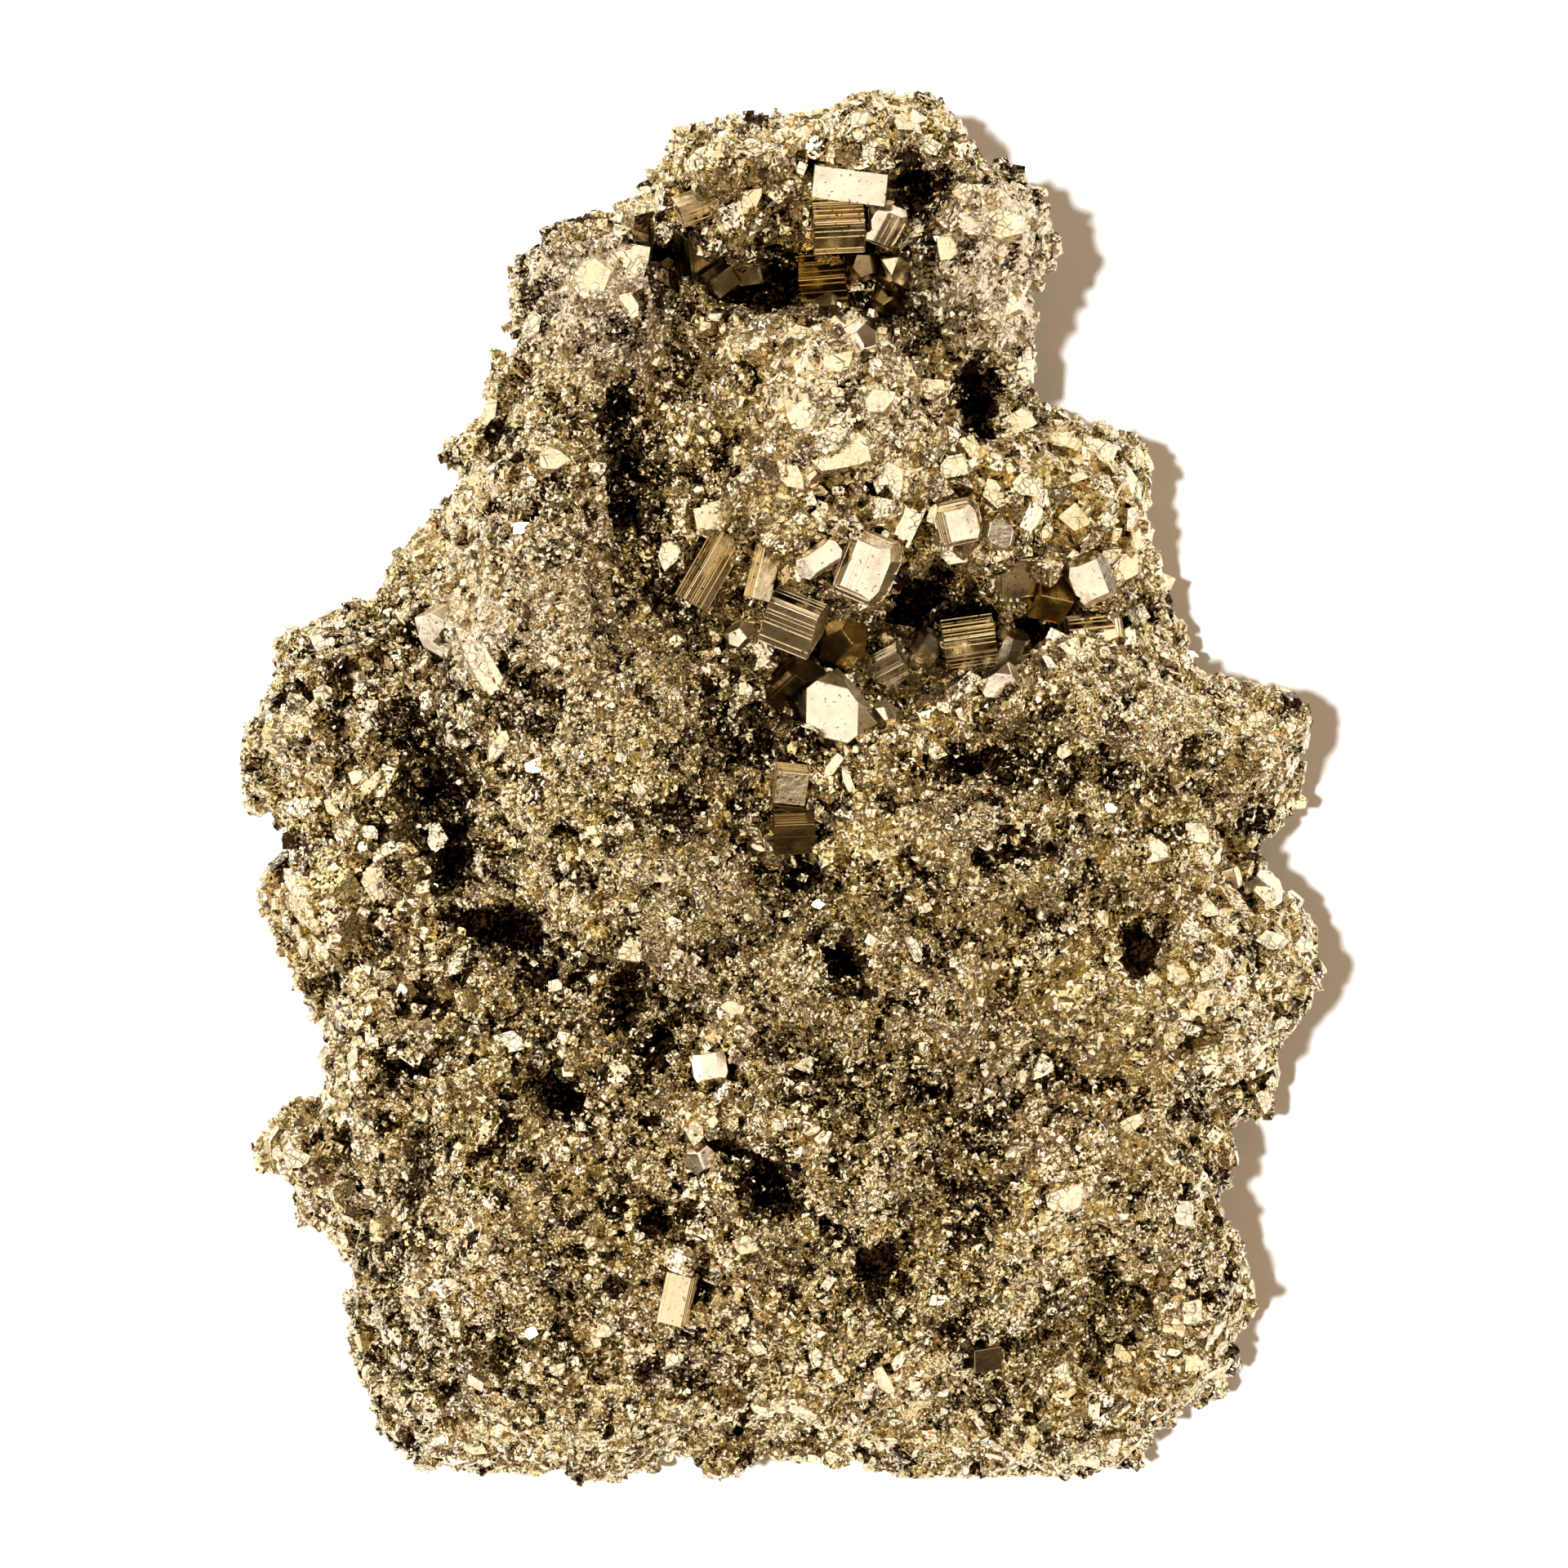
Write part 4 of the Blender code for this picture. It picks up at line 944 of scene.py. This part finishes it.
# How each coarse crystal reads: its look, and whether growth striations run over it. The pale look is
# partly painted highlight, the amber look painted reflection, the dark look painted shade. The rest are
# brass and smooth.
STYLES = {
    ("pale", False):
        "plate_crystal_top bright_crystal_centre pale_slab pale_twin_upper pale_twin_lower "
        "left_ridge_crystal pale_knob_lower small_pale_crystal bright_pyritohedron "
        "slim_crystal_centre small_oval round_crystal_ridge upright_chip framed_crystal "
        "right_edge_crystal",
    ("brass", True):
        "striated_block_top striated_plate_upper_left upright_blade leaning_blade "
        "striated_gold_cube barrel_crystal bridge_crystal striated_chip striated_post_lower",
    ("pale", True):
        "pale_block_top striated_cube_centre oval_crystal_centre hexagon_crystal pale_block_pocket",
    ("amber", True):
        "amber_cube_top amber_block",
    ("dark", False):
        "dark_pyritohedron_top dark_cube_far_left dark_cube_lower",
    ("brass", False):
        "wedge_crystal_top",
    ("amber", False):
        "amber_crystal_top pyritohedron_centre",
    ("dark", True):
        "dark_cube_upper_left dark_cube_centre banded_block",
}
CRYSTAL_STYLE = {name: style for style, names in STYLES.items() for name in names.split()}
CRYSTAL_BEVEL = 0.035 * MM
STRIA, STRIA_DEPTH = 0.22 * MM, 0.07 * MM
STRIATED_FROM = (0.8 * MM) ** 2  # faces smaller than this stay smooth


def in_order(faces):
    """Faces by where they are, as bevels and cuts give them in another order each run."""
    return sorted(faces, key=lambda f: [round(c, 7) for c in f.calc_center_median()])


def longest_edge(face):
    """The two ends of a face's longest edge, chosen by place where lengths are equal."""
    edges = [sorted(tuple(v.co) for v in e.verts) for e in face.edges]
    return max(edges, key=lambda ends: (round(math.dist(*ends), 6), ends))


def striate(bm, rng, spacing, depth):
    """Cuts each large face into parallel strips and sinks most of them by small random steps."""
    strips = []
    for face in in_order(f for f in bm.faces if f.calc_area() > STRIATED_FROM):
        normal = face.normal.copy()
        start, end = longest_edge(face)
        across = normal.cross(Vector(end) - Vector(start)).normalized()
        reach = [v.co.dot(across) for v in face.verts]
        at = min(reach) + spacing * rng.uniform(0.5, 1.2)
        pieces = [face]
        while at < max(reach) - spacing * 0.4:
            geometry = dict.fromkeys(g for p in pieces for g in (p, *p.edges, *p.verts))
            cut = bmesh.ops.bisect_plane(bm, geom=list(geometry), plane_co=across * at, plane_no=across)
            pieces = in_order(g for g in cut["geom"] if isinstance(g, bmesh.types.BMFace))
            at += spacing * rng.uniform(0.45, 1.7)
        strips.append((normal, pieces))
    for normal, pieces in strips:
        for piece in pieces:
            if not piece.is_valid or rng.random() < 0.35:
                continue
            made = bmesh.ops.extrude_discrete_faces(bm, faces=[piece])["faces"]
            step = -normal * depth * rng.uniform(0.25, 1.0)
            bmesh.ops.translate(bm, vec=step, verts=list({v for f in made for v in f.verts}))


def build_crystal(rng, name, node):
    """A coarse crystal in place of its CAD node: edges worn a little, faces striated where its style says
    so.
    """
    look, striated = CRYSTAL_STYLE.get(name, ("brass", False))
    bm = bmesh.new()
    bm.from_mesh(node.data)
    bmesh.ops.remove_doubles(bm, verts=bm.verts, dist=1e-7)
    bmesh.ops.dissolve_limit(bm, angle_limit=math.radians(2), verts=bm.verts, edges=bm.edges)
    bmesh.ops.bevel(
        bm, geom=bm.edges[:], offset=CRYSTAL_BEVEL, segments=1, profile=0.5, affect="EDGES",
        clamp_overlap=True,
    )
    if striated:
        striate(bm, rng, STRIA, STRIA_DEPTH)
    bmesh.ops.triangulate(bm, faces=[f for f in bm.faces if len(f.verts) > 4])
    mesh = bpy.data.meshes.new("crystal_" + name)
    bm.to_mesh(mesh)
    bm.free()
    obj = new_object("crystal_" + name, mesh, CRYSTAL_LOOKS[look])
    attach(obj, "root")
    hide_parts(name)


# ---- build the object

rng = np.random.default_rng(20)
skin, skin_points, skin_normals, skin_hollow = build_skin(rng)
quads, _, _ = quads_of(skin)
middles = skin_points[quads].mean(axis=1)
relief = looks_at(middles, skin_normals[quads].mean(axis=1), skin_hollow[quads].mean(axis=1))
order = np.argsort(middles[:, 1], kind="stable")
skin_parts = math.ceil(2 * len(quads) / PIECE_TRIANGLES)
for i, mine in enumerate(np.array_split(order, skin_parts)):
    name = f"skin_{i + 1}"
    part = part_of(skin, quads, np.sort(mine), name)
    add_face_values(part, "relief", relief[np.sort(mine)])
    cell_map(part)
    piece = new_object(name, part, GRAIN)
    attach(piece, "root")
    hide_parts("pyrite_mass")

large_faces, seats = set_features(rng, skin, skin_points)
coat = grow_coat(rng, skin, skin_points, skin_normals, skin_hollow, seats)
for piece in [large_faces, *coat_objects(rng, coat)]:
    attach(piece, "root")

for node_name in sorted(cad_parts):
    if node_name != "pyrite_mass":
        build_crystal(rng, node_name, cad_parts[node_name])

# ---- table, light and camera

FLOOR_RADIUS = 6.0
BACKDROP_HEIGHT = 1.2
WALL_TOP = 8.0
FLOOR_SIDES = 96
MIDDLE_HEIGHT = 0.017  # half of the specimen's height


def round_mesh(name, material, low=0, high=0):
    """A disc as wide as the table, or with a height, the upright ring that stands on its rim."""
    mesh = bpy.data.meshes.new(name)
    bm = bmesh.new()
    bmesh.ops.create_circle(bm, segments=FLOOR_SIDES, radius=FLOOR_RADIUS, cap_ends=high == 0)
    if high:
        bmesh.ops.translate(bm, vec=(0, 0, low), verts=bm.verts[:])
        wall = bmesh.ops.extrude_edge_only(bm, edges=bm.edges[:])["geom"]
        top = [v for v in wall if isinstance(v, bmesh.types.BMVert)]
        bmesh.ops.translate(bm, vec=(0, 0, high - low), verts=top)
    bm.to_mesh(mesh)
    bm.free()
    return new_object(name, mesh, material)


def stage():
    """A large white table top under the specimen, and a lit white backdrop all round it. Only the
    low part of the backdrop is mirrored in the metal."""
    table = Nodes("white_table")
    table.set("Base Color", (0.90, 0.90, 0.90, 1))
    table.set("Roughness", 0.8)
    table.set("Specular IOR Level", 0.1)
    glow = Nodes("lit_backdrop")
    glow.set("Base Color", (0.9, 0.9, 0.9, 1))
    glow.set("Emission Color", (1.0, 1.0, 1.0, 1))
    glow.set("Emission Strength", 0.9)
    round_mesh("table_top", table.material)
    round_mesh("backdrop", glow.material, 0, BACKDROP_HEIGHT)
    upper = round_mesh("upper_backdrop", glow.material, BACKDROP_HEIGHT, WALL_TOP)
    upper.visible_glossy = upper.visible_diffuse = upper.visible_shadow = False


def add_lamp(name, kind, place, target, energy, colour):
    """A lamp that stands at place and points at target."""
    lamp = bpy.data.lights.new(name, kind)
    lamp.energy = energy
    lamp.color = colour
    obj = linked(name, lamp)
    obj.location = place
    obj.rotation_euler = (Vector(target) - obj.location).to_track_quat("-Z", "Y").to_euler()
    return lamp, obj


def sun(name, azimuth, elevation, strength, spread, colour):
    """A far lamp that lights only the table. azimuth is where it stands, counted from +X towards
    +Y, and spread its width, in degrees."""
    a, e = math.radians(azimuth), math.radians(elevation)
    place = (math.cos(a) * math.cos(e), math.sin(a) * math.cos(e), math.sin(e))
    lamp, obj = add_lamp(name, "SUN", place, (0, 0, 0), strength, colour)
    lamp.angle = math.radians(spread)
    obj.visible_glossy = False


def softbox(name, place, size, power, colour):
    """A bright panel that only the metal mirrors."""
    lamp, obj = add_lamp(name, "AREA", place, (0, 0, MIDDLE_HEIGHT), power, colour)
    lamp.shape = "RECTANGLE"
    lamp.size, lamp.size_y = size
    obj.visible_diffuse = False


stage()
# The sun and the warm fill light the table: they whiten it, and cast the crisp brown shadow. The
# metal mirrors the softboxes instead.
sun("key", 180, 80.5, 3.8, 2.0, (1.0, 1.0, 1.0))
sun("fill", 20, 75, 0.55, 50.0, (1.0, 0.70, 0.43))
softbox("ceiling", (-0.05, 0.10, 1.20), (2.60, 2.20), 22.0, (1.0, 0.95, 0.88))
softbox("left_box", (-1.45, 0.30, 0.70), (0.8, 1.1), 6.5, (1.0, 0.98, 0.95))
softbox("glint_lamp", (-0.17, 0.43, 0.80), (0.06, 0.06), 0.40, (1.0, 0.98, 0.92))

world = bpy.data.worlds.new("studio")
bpy.context.scene.world = world
world.use_nodes = True
background = world.node_tree.nodes["Background"]
background.inputs["Color"].default_value = (1.0, 0.62, 0.30, 1)
background.inputs["Strength"].default_value = 0.14

# The picture is 89.2 mm wide at the specimen's middle height.
PICTURE_WIDTH = 89.2 * MM
LENS = 200.0
SENSOR = 36.0
AIM = (0.23 * MM, 0.42 * MM, 17 * MM)
camera = bpy.data.cameras.new("camera")
camera.lens = LENS
camera.sensor_width = SENSOR
camera.clip_start = 0.01
camera_object = linked("camera", camera)
camera_object.location = (AIM[0], AIM[1], AIM[2] + PICTURE_WIDTH * LENS / SENSOR)
bpy.context.scene.camera = camera_object
bpy.context.scene.view_settings.view_transform = "Standard"
